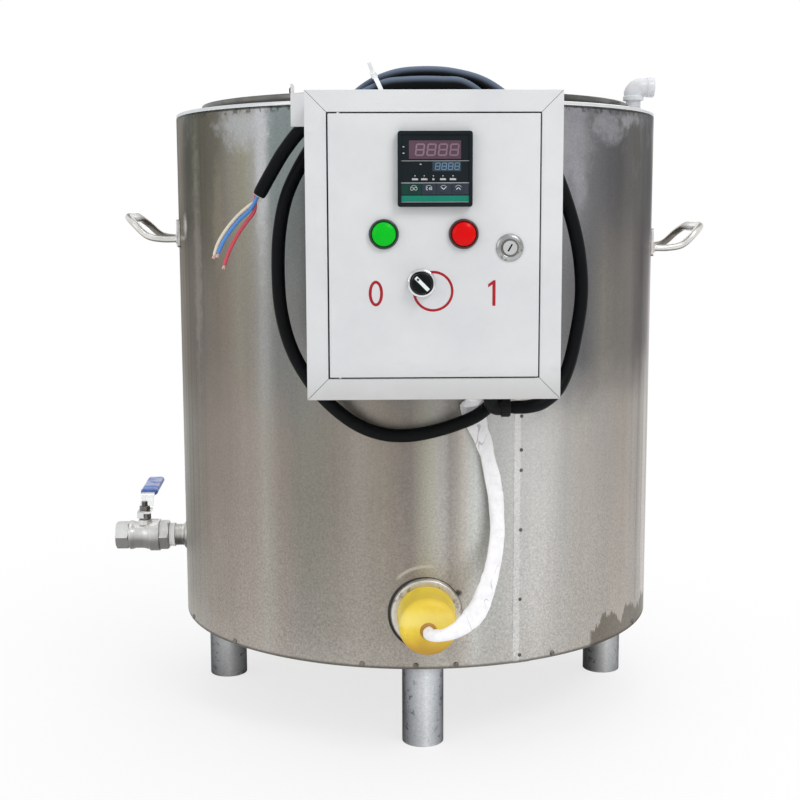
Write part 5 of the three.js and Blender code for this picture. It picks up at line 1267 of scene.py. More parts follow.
def heaterPieces():
    h = heaterSettings
    spot, corner = h["spot"], h["capCorner"]
    # The dark seal shows round the ring, shifted left and down, where its wider edge is a painted shadow
    seal = shifted(turnedShape(h["seal"], "front", spot, 120, soft=(0.6, 3)), *h["sealShift"])
    makePiece("ringSeal", seal, "seal", "black_rubber", sharp=45)
    ring = turnedShape(h["ring"], "front", spot, 120, soft=(1.0, 4))
    makePiece("heaterSocket", ring, "ringSteel", "zinc_steel", "heater_socket", sharp=40)
    side, shoulder = h["cap"][-1]
    bend = arcOf((side - corner, shoulder), (corner, corner), 0, 90, 12)[1:]
    cap = turnedShape(h["inside"] + h["cap"] + bend + h["capFace"], "front", spot, 120)
    makePiece("heaterCap", cap, "yellow", "yellow_rubber", "heater_cap", sharp=50)
    collar = turnedShape(h["collar"], "front", h["holeSpot"], 48, soft=(0.5, 3))
    makePiece("capCollar", collar, "capStain", "yellow_rubber", sharp=60)


leadSettings = {
    "steps": 260, "sides": 36, "creases": 22, "creaseHalf": 0.012,
    "points": [
        (2, -341, 164), (2, -358, 164), (3, -370, 164), (12, -378, 165), (26, -376, 168), (43, -363, 175),
        (58.5, -343, 189), (69.5, -325, 209), (77, -312, 235), (80, -303, 263), (79, -299.2, 298),
        (71.5, -299.4, 336), (62, -300.6, 366), (56.5, -301.2, 384), (53, -302.2, 398), (50, -308.5, 409.5),
        (48.5, -319.5, 414.5), (47.5, -331, 417.3), (47, -338.2, 423), (47, -339.8, 431), (47, -339.8, 437),
    ],
    # Place along the lead from 0 to 1, width and thickness there
    "widths": [(0, 12.4, 12.0), (0.06, 13.0, 12.0), (0.11, 13.5, 11.6), (0.155, 16.5, 10.0), (0.22, 22.5, 9.0),
        (0.30, 22.0, 9.0), (0.38, 18.5, 9.0), (0.52, 16.5, 9.0), (0.62, 18.5, 8.8), (0.70, 16.5, 8.6),
        (0.76, 20.0, 8.2), (0.82, 26.0, 7.4),
        (0.87, 28.5, 7.2), (0.91, 24.0, 8.2), (0.95, 17.0, 9.6), (1, 15.5, 11.0)],
}


def leadPiece():
    line = smoothLine(leadSettings["points"], leadSettings["steps"])
    widths, sides, creaseHalf = leadSettings["widths"], leadSettings["sides"], leadSettings["creaseHalf"]
    creases = [(random.uniform(0.02, 0.98), random.uniform(0, 6.28), random.uniform(0.4, 1.2))
            for _ in range(leadSettings["creases"])]

    def folded(turns):
        # Goes up and down in straight lines, so that its turns are creases
        return abs(turns % 1 - 0.5) * 4 - 1

    def section(share):
        (s0, w0, t0), (s1, w1, t1) = next(pair for pair in zip(widths, widths[1:]) if share <= pair[1][0])
        f = (share - s0) / (s1 - s0)
        wide, thick = w0 + (w1 - w0) * f, t0 + (t1 - t0) * f
        outline = []
        for i in range(sides):
            angle, turn = 2 * pi * i / sides, i / sides
            fold = 0.06 * folded(turn * 3 + share * 4) + 0.03 * folded(turn * 5 - share * 7)
            wind = 0.035 * folded(share * 8 + turn)
            pinch = sum(-depth * 0.08 * exp(-((share - at) / creaseHalf) ** 2) * (0.5 + 0.5 * cos(angle - side))
                    for at, side, depth in creases)
            swell = 1 + fold + wind + pinch
            outline.append((wide / 2 * cos(angle) * swell, thick / 2 * sin(angle) * swell))
        return outline

    def flatOn(spot, way):
        # It lies flat on the shell, and turns upright where it leaves the cap
        outward = Vector((spot.x, spot.y, 0)).normalized()
        along = abs(way.dot(outward)) ** 3
        return outward * (1 - along) + Vector((0, 0, 1)) * along

    sleeve = sweptShape(line, section, flatOn=flatOn)
    return makePiece("heaterLead", sleeve, "wrap", "glass_sleeve", "heater_lead", sharp=24)


heaterPieces()
leadPiece()


# Water inlet

inletSettings = {
    "x": 257.82, "y": -112.99, "bore": 7.2, "stub": 9, "low": 710, "high": 751, "threadStart": 730.4,
    "threadPitch": 1.9,
    "axis": 756.3, "tube": 11.3, "bend": 9.0, "bendLevel": 747.3, "bendSteps": 16,
    "collar": [(7.4, 740.3), (11.6, 740.3), (12.2, 741), (12.2, 745.2), (11.3, 746.2), (11.3, 752), (7.4, 752)],
    "mouth": [(11.3, 12), (11.3, 15), (12.2, 15.8), (12.2, 23.2), (11.6, 24), (9.2, 24), (8.9, 23.4), (8.9, 13.2),
        (7.2, 13.2), (7.2, 12)],
    "plug": [(0, 15.2), (8.8, 15.2), (8.8, 15.6), (0, 15.6)],
}


def inletPieces():
    s = inletSettings
    x, y, bore, reach = s["x"], s["y"], s["bore"], s["stub"]
    spot, atMouth = (x, y, 0), (x, y, s["axis"])
    stub = [(bore, s["low"]), (reach, s["low"]), (reach, 730)]
    for i in range(5):
        start = s["threadStart"] + i * s["threadPitch"]
        stub += [(reach, start), (reach - 0.6, start + 0.5), (reach - 0.6, start + 0.9), (reach, start + 1.5)]
    stub += [(reach, s["high"]), (bore, s["high"])]
    makePiece("inletStub", turnedShape(stub, "up", spot, 64), "white", "white_plastic", "inlet_stub", sharp=40)
    bend = arcOf((s["bend"], s["bendLevel"]), (-s["bend"], s["bend"]), 0, 90, s["bendSteps"])
    bend = [Vector((x, y, 744))] + [Vector((x + u, y, v)) for u, v in bend] + [Vector((x + 15, y, s["axis"]))]
    parts = [turnedShape(s["collar"], "up", spot, 64, soft=(0.5, 3)),
            sweptShape(bend, circleOutline(s["tube"], 48), up=(0, 1, 0)),
            turnedShape(s["mouth"], "right", atMouth, 64, soft=(0.5, 3))]
    makePiece("inletElbow", together(*parts), "white", "white_plastic", "inlet_elbow", sharp=46)
    # The dark inside of the mouth
    makePiece("mouthShade", turnedShape(s["plug"], "right", atMouth, 40), "black", "black_rubber")


inletPieces()
print("heater and inlet dressed")


# Control box: shell with a mitred front frame, brackets and what is mounted inside

boxSettings = {
    "left": -121, "right": 129, "front": -440, "back": -326, "low": 426, "high": 726,
    "sheet": 1.5, "border": 21, "mitre": 0.28, "lip": 16, "lipSheet": 1.2, "backInset": 1.8, "screwInset": 10,
    "backScrew": [(0, 327.2), (3.4, 327.2), (3.2, 328.6), (0, 329.4)],
    "hingeSpot": (-88.5, -436.8, 0), "hingeRod": [(0, 439), (1.9, 439), (1.9, 713), (0, 713)],
}


def rectangle(x0, x1, z0, z1):
    return [(x0, z0), (x1, z0), (x1, z1), (x0, z1)]


def trayShape(x0, x1, yOpen, yShut, z0, z1, sheet):
    # A tray of sheet: five walls, open on the yOpen side
    deep = yShut + (sheet if yOpen > yShut else -sheet)
    outer, inner = rectangle(x0, x1, z0, z1), rectangle(x0 + sheet, x1 - sheet, z0 + sheet, z1 - sheet)
    points = [(x, y, z) for y in (yOpen, yShut) for x, z in outer] + [(x, y, z) for y in (yOpen, deep) for x,
            z in inner]
    faces = [(4, 5, 6, 7), (12, 13, 14, 15)]
    for i in range(4):
        j = (i + 1) % 4
        faces += [(i, j, 4 + j, 4 + i), (8 + i, 8 + j, 12 + j, 12 + i), (i, j, 8 + j, 8 + i)]
    return points, faces


def headShapes(spots, way, profile, count, soft, slot=None):
    # Round heads of screws, each with a slot where one is given
    shapes = []
    for spot in spots:
        shapes.append(turnedShape(softened(profile, *soft), way, spot, count))
        if slot:
            shapes.append(shifted(blockShape(*slot), *spot))
    return together(*shapes)


def boxPieces():
    b = boxSettings
    x0, x1, z0, z1, edge, front, sheet = [b[key] for key in ("left", "right", "low", "high", "border", "front",
            "sheet")]
    wide, high, inset, depth = x1 - x0, z1 - z0, b["backInset"], b["screwInset"]
    walls = plateShape(roundedOutline(wide, high, 1.6, 4), front - b["back"], -1.6, "front",
            ((x0 + x1) / 2, front, (z0 + z1) / 2),
            holes=[roundedOutline(wide - sheet * 2, high - sheet * 2, 0.4, 3)[::-1]])
    makePiece("boxShell", walls, "paint", "white_paint", "box_shell", rounding=0.4)
    back = blockShape(x0 + inset, x1 - inset, b["back"] - sheet, b["back"], z0 + inset, z1 - inset)
    makePiece("boxBack", back, "paint", "white_paint", "box_back", rounding=0.4)
    spots = [(x, 0, z) for x in (x0 + depth, x1 - depth) for z in (z0 + depth, (z0 + z1) / 2, z1 - depth)]
    makePiece("backScrews", headShapes(spots, "front", b["backScrew"], 24, (0.5, 3)), "zinc", "steel")
    corners, signs = rectangle(x0, x1, z0, z1), rectangle(1, -1, 1, -1)
    for i, name in enumerate(("Low", "Right", "High", "Left")):
        (ax, az), (bx, bz) = corners[i], corners[(i + 1) % 4]
        (sa, ta), (sb, tb) = signs[i], signs[(i + 1) % 4]
        along = Vector((bx - ax, bz - az)).normalized() * (b["mitre"] / 2) * 1.414
        outline = [(ax + along.x, az + along.y), (bx - along.x, bz - along.y),
                (bx + sb * edge - along.x, bz + tb * edge - along.y),
                (ax + sa * edge + along.x, az + ta * edge + along.y)]
        plate = plateShape(outline, 0, 1.5, "front", (0, front + 1.5, 0))
        makePiece(f"frame{name}", plate, "paint", "white_paint", rounding=0.6, steps=3)
    hole = rectangle(x0 + edge - 0.2, x1 - edge + 0.2, z0 + edge - 0.2, z1 - edge + 0.2)
    back = plateShape(rectangle(x0 + 2, x1 - 2, z0 + 2, z1 - 2), 0, 0.5, "front", (0, front + 2.3, 0),
            holes=[hole[:1] + hole[:0:-1]])
    makePiece("frameBack", back, "shadowPaint", "white_paint")
    thick, deep = b["lipSheet"], front + b["lip"]

    def ringOfSheet(inset, thick, yDeep, yNear):
        outer, inner = [rectangle(x0 + edge + off, x1 - edge - off, z0 + edge + off, z1 - edge - off)
                for off in (inset, inset + thick)]
        return plateShape(outer, -yDeep, -yNear, "front", holes=[inner[::-1]])

    makePiece("frameLip", ringOfSheet(-thick, thick, deep, front + 1.4), "paint", "white_paint", rounding=0.3)
    makePiece("doorSeal", ringOfSheet(0.3, 2.9, deep - 0.2, deep - 1.4), "black", "black_rubber", rounding=0.3)
    rod = turnedShape(b["hingeRod"], "up", b["hingeSpot"], 24, soft=(0.5, 3))
    makePiece("hingeRod", rod, "bright", "steel", "hinge_rod")


bracketSettings = {
    # The bent sheets run a hair inside each other, so that no two faces fall together
    "upper": [(-140, 123.5, -325.7, -323.2, 698, 723.5), (-139.95, -137.5, -323.4, -297.2, 731.5, 742.1)],
    "arms": [(-139.95, -110, -246.7), (-36, 36, -271.8), (101.5, 123.45, -252.1)],
    "screwSpots": [(-126, -262, 0), (112.5, -266, 0), (-22, -284, 0), (22, -284, 0)],
    "screw": [(0, 732), (4.2, 732), (4.0, 733.6), (2.4, 734.9), (0, 735.1)],
    "slot": (-3.2, 3.2, -0.4, 0.4, 734.4, 735.3),
    "hookSpot": (-140, -310, 736), "hook": [(0, -2), (4, -2), (3.8, 0.6), (2.4, 1.9), (0, 2.1)],
    "lower": (-28, 28, -325.7, -323.7, 446, 480), "sides": [(-27.95, -26), (26, 27.95)], "reach": 300.5,
}


def bracketPieces():
    b = bracketSettings
    parts = [blockShape(*block) for block in b["upper"]]
    for left, right, back in b["arms"]:
        parts.append(blockShape(left, right, -325.65, -323.25, 723, 732.1))
        parts.append(blockShape(left + 0.05, right - 0.05, -324, back, 729.6, 732.05))
    makePiece("upperBracket", together(*parts), "paint", "white_paint", "upper_bracket", rounding=0.5)
    screws = headShapes(b["screwSpots"], "up", b["screw"], 28, (0.6, 3), b["slot"])
    makePiece("bracketScrews", screws, "zinc", "steel")
    makePiece("hookScrew", headShapes([b["hookSpot"]], "left", b["hook"], 28, (0.5, 3)), "black", "steel")
    channel = [blockShape(*b["lower"])]
    for left, right in b["sides"]:
        reach = -sqrt(b["reach"] ** 2 - left ** 2)
        channel.append(blockShape(left, right, -324.5, reach, 446.05, 479.95))
    makePiece("lowerBracket", together(*channel), "paint", "white_paint", "lower_bracket", rounding=0.5)


insideSettings = {
    "plate": (-97, 105, -335.8, -333.8, 450, 702), "postSpots": [(x, 0, z) for x in (-89, 97) for z in (458, 694)],
    "post": [(0, 327.8), (4, 327.8), (4, 334), (0, 334)],
    "bolt": [(0, 335.6), (4.2, 335.6), (3.8, 337.4), (0, 338.2)],
    "contactor": [(-69.3, -23.7, -386.1, -371, 488, 538), (-69.5, -23.5, -372.1, -336.1, 474, 552)],
    "contactorFace": (-63, -30, -387.3, -386.0, 496, 530),
    "contactorSpots": [(x, 0, z) for x in (-62.5, -52, -41, -30.5) for z in (480.5, 545.5)],
    "contactorScrew": [(0, 371.9), (3.6, 371.9), (3.4, 373.0), (0, 373.4)],
    "contactorSlot": (-3, 3, -373.7, -373.1, -0.4, 0.4),
    "rowStart": 3.5, "rowPitch": 11.25, "rowCount": 8, "rowBase": (3.5, 93.5, -345.1, -336.2, 528.4, 551.6),
    "rowScrew": [(0, 353.9), (3.1, 353.9), (2.9, 354.9), (0, 355.3)],
    "rowSlot": (-2.6, 2.6, -355.6, -355.0, -0.35, 0.35),
}


def insidePieces():
    s = insideSettings
    posts = [turnedShape(s["post"], "front", spot, 32) for spot in s["postSpots"]]
    plate = together(blockShape(*s["plate"]), *posts)
    makePiece("mountingPlate", plate, "zinc", "zinc_steel", "mounting_plate", rounding=0.4)
    makePiece("plateBolts", headShapes(s["postSpots"], "front", s["bolt"], 28, (0.6, 3)), "bright", "steel")
    body = together(*[blockShape(*block) for block in s["contactor"]])
    makePiece("contactor", body, "cream", "cream_plastic", "contactor", rounding=1.0, steps=3)
    makePiece("contactorFace", blockShape(*s["contactorFace"]), "grey", "grey_plastic", rounding=0.5)
    heads = headShapes(s["contactorSpots"], "front", s["contactorScrew"], 24, (0.3, 2), s["contactorSlot"])
    makePiece("contactorScrews", heads, "bright", "steel")
    starts = [s["rowStart"] + s["rowPitch"] * i for i in range(s["rowCount"])]
    row = [blockShape(x + 0.5, x + 10.75, -354.1, -336.1, 528, 552) for x in starts]
    makePiece("terminalBlock", together(*row, blockShape(*s["rowBase"])), "grey", "grey_plastic", "terminal_block",
            rounding=0.5)
    spots = [(x + 5.6, 0, z) for x in starts for z in (533.5, 546.5)]
    makePiece("terminalScrews", headShapes(spots, "front", s["rowScrew"], 24, (0.3, 2), s["rowSlot"]), "bright",
            "steel")


boxPieces()
bracketPieces()
insidePieces()
print("box dressed")


# Door with its controller, lamps, selector and lock

doorSettings = {
    "left": -98.5, "right": 106.5, "front": -442, "low": 448.5, "high": 703.5, "flange": 12, "sheet": 1.5,
    # The printed marks: their heights off the door, and their places
    "print": (-0.1, 0.12), "ring": (19.9, 17.4), "ringPlace": (2.9, 533), "zeroPlace": (-53, 531),
    "onePlace": (62, 531),
    "zero": ((7.0, 12.5), (4.1, 9.6)),
    "one": [(-1.2, -12.5), (1.9, -12.5), (1.9, 12.5), (-0.1, 12.5), (-5.4, 8.6), (-5.4, 5.4), (-1.2, 8.4)],
}


def onDoor(place):
    return place[0], doorSettings["front"], place[1]


def doorPiece(name, shape, finish, slotName, stands=None, **more):
    makePiece(name, shape, finish, slotName, stands, body="door", **more)


def doorPieces():
    d = doorSettings
    tray = trayShape(d["left"], d["right"], d["front"] + d["flange"], d["front"], d["low"], d["high"], d["sheet"])
    doorPiece("doorPanel", tray, "paint", "white_paint", "door_panel", rounding=1.1, steps=3)
    ring, ringHole = [circleOutline(radius, 96) for radius in d["ring"]]
    zero, zeroHole = [arcOf((0, 0), radii, 0, 360, 48)[:-1] for radii in d["zero"]]
    marks = [plateShape(ring, *d["print"], "front", onDoor(d["ringPlace"]), holes=[ringHole[::-1]]),
            plateShape(zero, *d["print"], "front", onDoor(d["zeroPlace"]), holes=[zeroHole[::-1]]),
            plateShape(d["one"], *d["print"], "front", onDoor(d["onePlace"]))]
    doorPiece("printedMarks", together(*marks), "red", "red_plastic", sharp=30)


# The controller's face is drawn in millimetres from its left upper corner

controllerSettings = {
    "middle": (4.5, 650.5), "half": 36, "front": -442.3, "panel": -448.9, "caseHalf": 33, "caseBack": -384.3,
    "highWindow": (10.8, 60.8, 9.0, 26.4), "lowWindow": (33.4, 60.8, 28.7, 38.1),
    "highDigits": (15.3, 59.3, 12.6, 23.0), "lowDigits": (35.0, 59.8, 30.4, 36.5),
    "digits": [((0.1, 1.0), (0.9, 1.0)), ((0.1, 0.5), (0.9, 0.5)), ((0.1, 0.0), (0.9, 0.0)),
        ((0.0, 0.56), (0.0, 0.94)),
        ((1.0, 0.56), (1.0, 0.94)), ((0.0, 0.06), (0.0, 0.44)), ((1.0, 0.06), (1.0, 0.44))],
    "digitCount": 4, "digitLean": 0.12, "digitGap": 0.32,
    "sides": (3.4, 68.6), "lines": [(28.1, 28.5), (48.9, 49.5), (67.2, 67.6)],
    "marks": [(13.6, 19.6), (22.4, 28.6), (33.2, 35.4), (40.6, 46.4), (50.0, 56.2)], "markPitch": 1.6,
    "spots": [(5.6, 15.0), (22.0, 31.5), (5.6, 21.0)],
    "keys": (-20.55, -6.25, 8.05, 22.35), "keyDrop": 18.5,
    "keyBand": (49.9, 60.2), "greenBand": (61.3, 67.0), "keyEnds": (22.6, 23.2), "dividers": (23, 37, 52),
}


def onFace(u, v):
    x, z = controllerSettings["middle"]
    return x - controllerSettings["half"] + u, z + controllerSettings["half"] - v


def facePlate(u0, u1, v0, v1, low, high, radius=0.0):
    (x0, z1), (x1, z0) = onFace(u0, v0), onFace(u1, v1)
    wide, tall = x1 - x0, z1 - z0
    outline = roundedOutline(wide, tall, radius, 4) if radius else rectangle(-wide / 2, wide / 2, -tall / 2, tall / 2)
    return plateShape(outline, low, high, "front", ((x0 + x1) / 2, controllerSettings["panel"], (z0 + z1) / 2))


def strokeShape(start, end, width, low, high):
    a, b = Vector(onFace(*start)), Vector(onFace(*end))
    way = (b - a).normalized()
    side, tip = Vector((-way.y, way.x)) * width / 2, way * width / 2
    outline = [a + side, a - tip, a - side, b - side, b + tip, b + side]
    return plateShape([(p.x, p.y) for p in outline], low, high, "front", (0, controllerSettings["panel"], 0))


def digitShapes(u0, u1, v0, v1, width):
    c = controllerSettings
    shapes = []
    pitch = (u1 - u0) / c["digitCount"]
    wide, tall = pitch * (1 - c["digitGap"]), v1 - v0

    def spot(left, across, up):
        return left + wide * (across + c["digitLean"] * up * tall / wide), v1 - tall * up

    for i in range(c["digitCount"]):
        left = u0 + pitch * i + pitch * c["digitGap"] / 2
        shapes += [strokeShape(spot(left, *start), spot(left, *end), width, 0.05, 0.32) for start, end in c["digits"]]
    return together(*shapes)


def controllerPieces():
    c = controllerSettings
    x, z = c["middle"]
    half, wide = c["caseHalf"], c["half"] * 2
    rim = plateShape(roundedOutline(wide, wide, 2.6, 6), 0, 8, "front", (x, c["front"], z),
            holes=[roundedOutline(65.6, 65.6, 1.4, 5)[::-1]])
    panel = plateShape(roundedOutline(65.7, 65.7, 1.4, 5), 0, 6.4, "front", (x, c["front"] - 0.1, z))
    doorPiece("controllerFront", together(rim, panel), "casing", "black_plastic", "controller_front", rounding=0.7,
            steps=3)
    case = blockShape(x - half, x + half, doorSettings["front"], c["caseBack"], z - half, z + half)
    doorPiece("controllerCase", case, "casing", "black_plastic", "controller_case", rounding=1.2, steps=3)
    slots = [blockShape(x - 26 + i * 6.5, x - 22 + i * 6.5, -384.6, -383.9, z - 24, z + 24) for i in range(8)]
    doorPiece("controllerBack", together(*slots), "black", "black_plastic", rounding=0.3)
    doorPiece("windowHigh", facePlate(*c["highWindow"], 0.0, 0.15, 0.6), "windowPink", "dark_window",
            "display_window")
    doorPiece("windowLow", facePlate(*c["lowWindow"], 0.0, 0.15, 0.5), "windowBlue", "dark_window")
    doorPiece("digitsHigh", digitShapes(*c["highDigits"], 1.5), "digitPink", "dark_window")
    doorPiece("digitsLow", digitShapes(*c["lowDigits"], 0.85), "digitBlue", "dark_window")
    doorPiece("faceLines", together(*[facePlate(*c["sides"], *line, 0, 0.12) for line in c["lines"]]), "grey",
            "grey_plastic")
    marks, pitch = [], c["markPitch"]
    for left, right in c["marks"]:
        marks.append(facePlate(left, right, 45.0, 46.6, 0, 0.12, 0.4))
        for i in range(int((right - left) / pitch)):
            marks.append(facePlate(left + 0.4 + i * pitch, left + 1.2 + i * pitch, 44.6, 45.0, 0, 0.12))
        middle = (left + right) / 2
        marks.append(facePlate(middle - 0.55, middle + 0.55, 42.0, 43.0, 0, 0.3, 0.3))
    doorPiece("faceMarks", together(*marks), "grey", "grey_plastic")
    spots = [facePlate(u - 0.9, u + 0.9, v - 0.5, v + 0.5, 0, 0.12, 0.3) for u, v in c["spots"]]
    doorPiece("faceSpots", together(*spots), "grey", "grey_plastic")
    (left, right), band, (greenEnd, darkStart) = c["sides"], c["keyBand"], c["keyEnds"]
    doorPiece("greenBand", facePlate(left, right, *c["greenBand"], 0, 0.14), "green", "green_plastic")
    doorPiece("keyBandGreen", facePlate(left, greenEnd, *band, 0, 0.1), "deepGreen", "green_plastic")
    doorPiece("keyBandDark", facePlate(darkStart, right, *band, 0, 0.1), "keyGround", "black_plastic")
    dividers = [facePlate(u - 0.25, u + 0.25, *band, 0, 0.16) for u in c["dividers"]]
    doorPiece("keyDividers", together(*dividers), "casing", "black_plastic")


def strokesAlong(spots, width, high):
    return [strokeShape(start, end, width, 0.95, high) for start, end in zip(spots, spots[1:])]


def keyPieces():
    c = controllerSettings
    for number, shift in enumerate(c["keys"], 1):
        body = f"key_body_{number}"
        x, z = c["middle"][0] + shift, c["middle"][1] - c["keyDrop"]
        pad = plateShape(roundedOutline(9.4, 6.9, 1.7, 6), -2.2, 1.0, "front", (x, c["panel"], z))
        ground = "deepGreen" if number == 1 else "keyGround"
        makePiece(f"keyPad_{number}", pad, ground, "green_plastic", f"key_{number}", body=body, rounding=0.5, steps=3)
        u, v = c["half"] + shift, c["half"] + c["keyDrop"]
        strokes = []
        if number == 1:
            for side in (-1, 1):
                loop = arcOf((u + side * 1.75, v + 0.2), (side * 1.5, 1.35), 0, 360, 16)
                strokes += strokesAlong(loop, 0.55, 1.16)
        elif number == 2:
            for du, fold in ((-2.6, 0), (0.2, 0.5), (1.8, 0.5)):
                angle = [(u + du + 1.3, v - 1.4 + fold), (u + du, v + 0.1), (u + du + 1.3, v + 1.6 - fold)]
                strokes += strokesAlong(angle, 0.5, 1.16)
        else:
            tip = 0.9 if number == 3 else -0.9
            strokes += strokesAlong([(u - 1.9, v - tip), (u, v + tip), (u + 1.9, v - tip)], 0.55, 1.16)
        strokes += strokesAlong(arcOf((u, v - 0.3), (3.0, -2.7), 20, 160, 10), 0.3, 1.12)
        makePiece(f"keyIcon_{number}", together(*strokes), "iconWhite", "white_plastic", body=body)


lampSettings = {
    # Name and place on the door
    "lamps": [("green", (-45, 588.4)), ("red", (32.5, 588.4))],
    "rim": [(0, -36), (10.6, -36), (10.8, -30), (10.8, 0.1), (14.2, 0.1), (14.6, 0.5), (14.6, 2.6), (13.9, 4.2),
        (12.6, 4.5),
        (12.0, 4.0), (11.9, 1.6), (0, 1.6)],
    "lens": [(0, 1.8), (11.5, 1.8), (11.6, 4.4)], "domeFoot": 5.2, "dome": (11.6, 3.8),
    "nut": (13.4, -9.5, -4.0), "terminal": (-1.2, 1.2, 36, 41.5, -3, 3), "terminals": (-5, 5),
}


def lampPieces():
    s = lampSettings
    for name, place in s["lamps"]:
        spot = onDoor(place)
        rim = turnedShape(s["rim"], "front", spot, 96, soft=(0.45, 3))
        makePiece(f"{name}LampRim", rim, "darkRim" if name == "green" else "redRim", "black_plastic",
                f"{name}_lamp_holder",
                body="door", sharp=40)
        dome = arcOf((0, s["domeFoot"]), s["dome"], 0, 90, 12)[1:-1]
        lens = turnedShape(s["lens"] + dome + [(0, s["domeFoot"] + s["dome"][1])], "front", spot, 96)
        doorPiece(f"{name}Lens", lens, f"{name}Lens", f"{name}_plastic", f"{name}_lens", sharp=50)
        terminals = [shifted(blockShape(*s["terminal"]), spot[0] + off, *spot[1:]) for off in s["terminals"]]
        back = together(hexShape(*s["nut"], "front", spot), *terminals)
        doorPiece(f"{name}LampBack", back, "grey", "grey_plastic")


selectorSettings = {
    "place": (-8.5, 541), "lean": 45,
    "collar": [(5.3, -4.5), (10.8, -4.5), (10.8, 0.1), (13.6, 0.1), (14, 0.5), (14, 3.0), (13.5, 4.3), (12.2, 4.7),
        (11.3, 4.5), (11.1, 4.0), (11.1, 2.25), (5.3, 2.25)],
    "knob": [(0, -4.2), (5, -4.2), (5, 2.5), (10.7, 2.5), (10.8, 6.0), (9.6, 8.2), (8.6, 8.5), (0, 8.5)],
    "back": [(0, -17.4), (10.8, -17.4), (10.8, -4), (0, -4)], "backBlock": (-14, 14, 17.2, 33.8, -14, 14),
}


def selectorPieces():
    s = selectorSettings
    spot = onDoor(s["place"])
    collar = turnedShape(s["collar"], "front", spot, 96, soft=(0.45, 3))
    doorPiece("selectorCollar", collar, "chrome", "chrome", "selector_collar", sharp=40)
    back = [shifted(blockShape(*s["backBlock"]), *spot), turnedShape(s["back"], "front", spot, 48),
            hexShape(*lampSettings["nut"], "front", spot)]
    doorPiece("selectorBack", together(*back), "grey", "grey_plastic", rounding=0.5)
    knob = turnedShape(s["knob"], "front", spot, 96, soft=(0.6, 4))
    makePiece("selectorKnob", knob, "black", "black_plastic", "selector_knob", body="selector", sharp=45)
    pointer = plateShape(roundedOutline(7, 21.4, 2.6, 6), 5.4, 16.4, "front")
    stripe = plateShape(roundedOutline(3.5, 17.6, 0.6, 4), 16.3, 16.6, "front")
    notch = blockShape(-1.0, 1.0, -16.75, -16.5, 4.6, 6.8)

    def leaned(shape):
        # The pointer stands at half past ten
        cosine, sine = cos(radians(s["lean"])), sin(radians(s["lean"]))
        return shifted(([(x * cosine - z * sine, y, x * sine + z * cosine) for x, y, z in shape[0]], shape[1]), *spot)

    makePiece("selectorPointer", leaned(pointer), "black", "black_plastic", body="selector", rounding=1.0, steps=3)
    makePiece("selectorStripe", leaned(stripe), "iconWhite", "white_plastic", body="selector")
    makePiece("selectorMark", leaned(notch), "black", "black_plastic", body="selector")


lockSettings = {
    "place": (77.5, 575), "plug": 6.9, "slotLean": -0.52, "slot": [(-0.8, -4), (-0.8, 4), (0.8, 4), (0.8, -4)],
    "housing": [(7.3, -18.6), (9.5, -18.6), (9.5, 0.1), (13.2, 0.1), (13.5, 0.5), (13.3, 1.2), (11.6, 2.4),
        (9.4, 3.0),
        (8.6, 2.6), (7.3, 2.6)],
    "core": [(0, -21), (6.6, -21), (6.6, 1.2), (0, 1.2)], "keyhole": [(0, 1.1), (6.5, 1.1), (6.5, 1.6), (0, 1.6)],
    "cam": (12, 43.5, 3.4, 5), "camDrop": 15.75, "ring": (8.5, 7.25), "nut": (12.4, -7.5, -3.6),
}


def lockPieces():
    s = lockSettings
    x, y, z = spot = onDoor(s["place"])
    housing = turnedShape(s["housing"], "front", spot, 96, soft=(0.4, 4))
    doorPiece("lockHousing", housing, "lock", "chrome", "lock_housing", sharp=40)
    cosine, sine = cos(s["slotLean"]), sin(s["slotLean"])
    slot = [(u * cosine - v * sine, u * sine + v * cosine) for u, v in s["slot"]]
    plug = plateShape(circleOutline(s["plug"], 64), 0, 1.4, "front", (x, y - 2.8, z), holes=[slot])
    cam = plateShape(roundedOutline(*s["cam"]), -21, -19, "front", (x, y, z - s["camDrop"]))
    plug = together(plug, turnedShape(s["core"], "front", spot, 64), cam)
    makePiece("lockPlug", plug, "bright", "steel", "lock_plug", body="lock", sharp=40, rounding=0.25)
    # A dark ring over the gap between plug and housing: painted shade
    ring, hole = [circleOutline(radius, 64) for radius in s["ring"]]
    ring = plateShape(ring, 2.4, 3.15, "front", spot, holes=[hole[::-1]])
    doorPiece("lockRing", ring, "screw", "zinc_steel", rounding=0.2)
    # A black disc behind the plug shows through its slot: painted shade in the keyhole
    makePiece("keyhole", turnedShape(s["keyhole"], "front", spot, 48), "black", "black_plastic", body="lock")
    doorPiece("lockNut", hexShape(*s["nut"], "front", spot), "zinc", "zinc_steel")


doorPieces()
controllerPieces()
keyPieces()
lampPieces()
selectorPieces()
lockPieces()
print("door dressed")


# Glands in the floor of the box

glandSettings = {
    "spot": (70, -339, 403.5), "leadSpot": (47, -339.8, 0), "tube": 8.6, "bend": 7, "bendSteps": 10,
    "levels": (427.5, 420, 412),
    "reach": (12, 13), "flutes": 18, "fluteDepth": 0.55, "fluteSpan": (10, 19.2),
    "flange": [(0, 423.2), (10.4, 423.2), (10.4, 425.7), (0, 425.7)], "nut": (10.4, 427.8, 432.8),
    "stem": [(0, 425), (8.6, 425), (8.6, 432.8), (0, 432.8)],
    "cap": [(0, 9.8), (9.4, 9.8), (10.4, 10.4), (10.4, 18.6), (9.4, 19.7), (8.4, 20), (0, 20)],
    "lead": [(9.6, 424.7), (11.4, 424.7), (11.8, 425.1), (11.8, 425.7), (10.8, 425.8), (10.8, 427.6), (11.8, 427.8),
        (11.8, 432.8), (9.6, 432.8)],
}


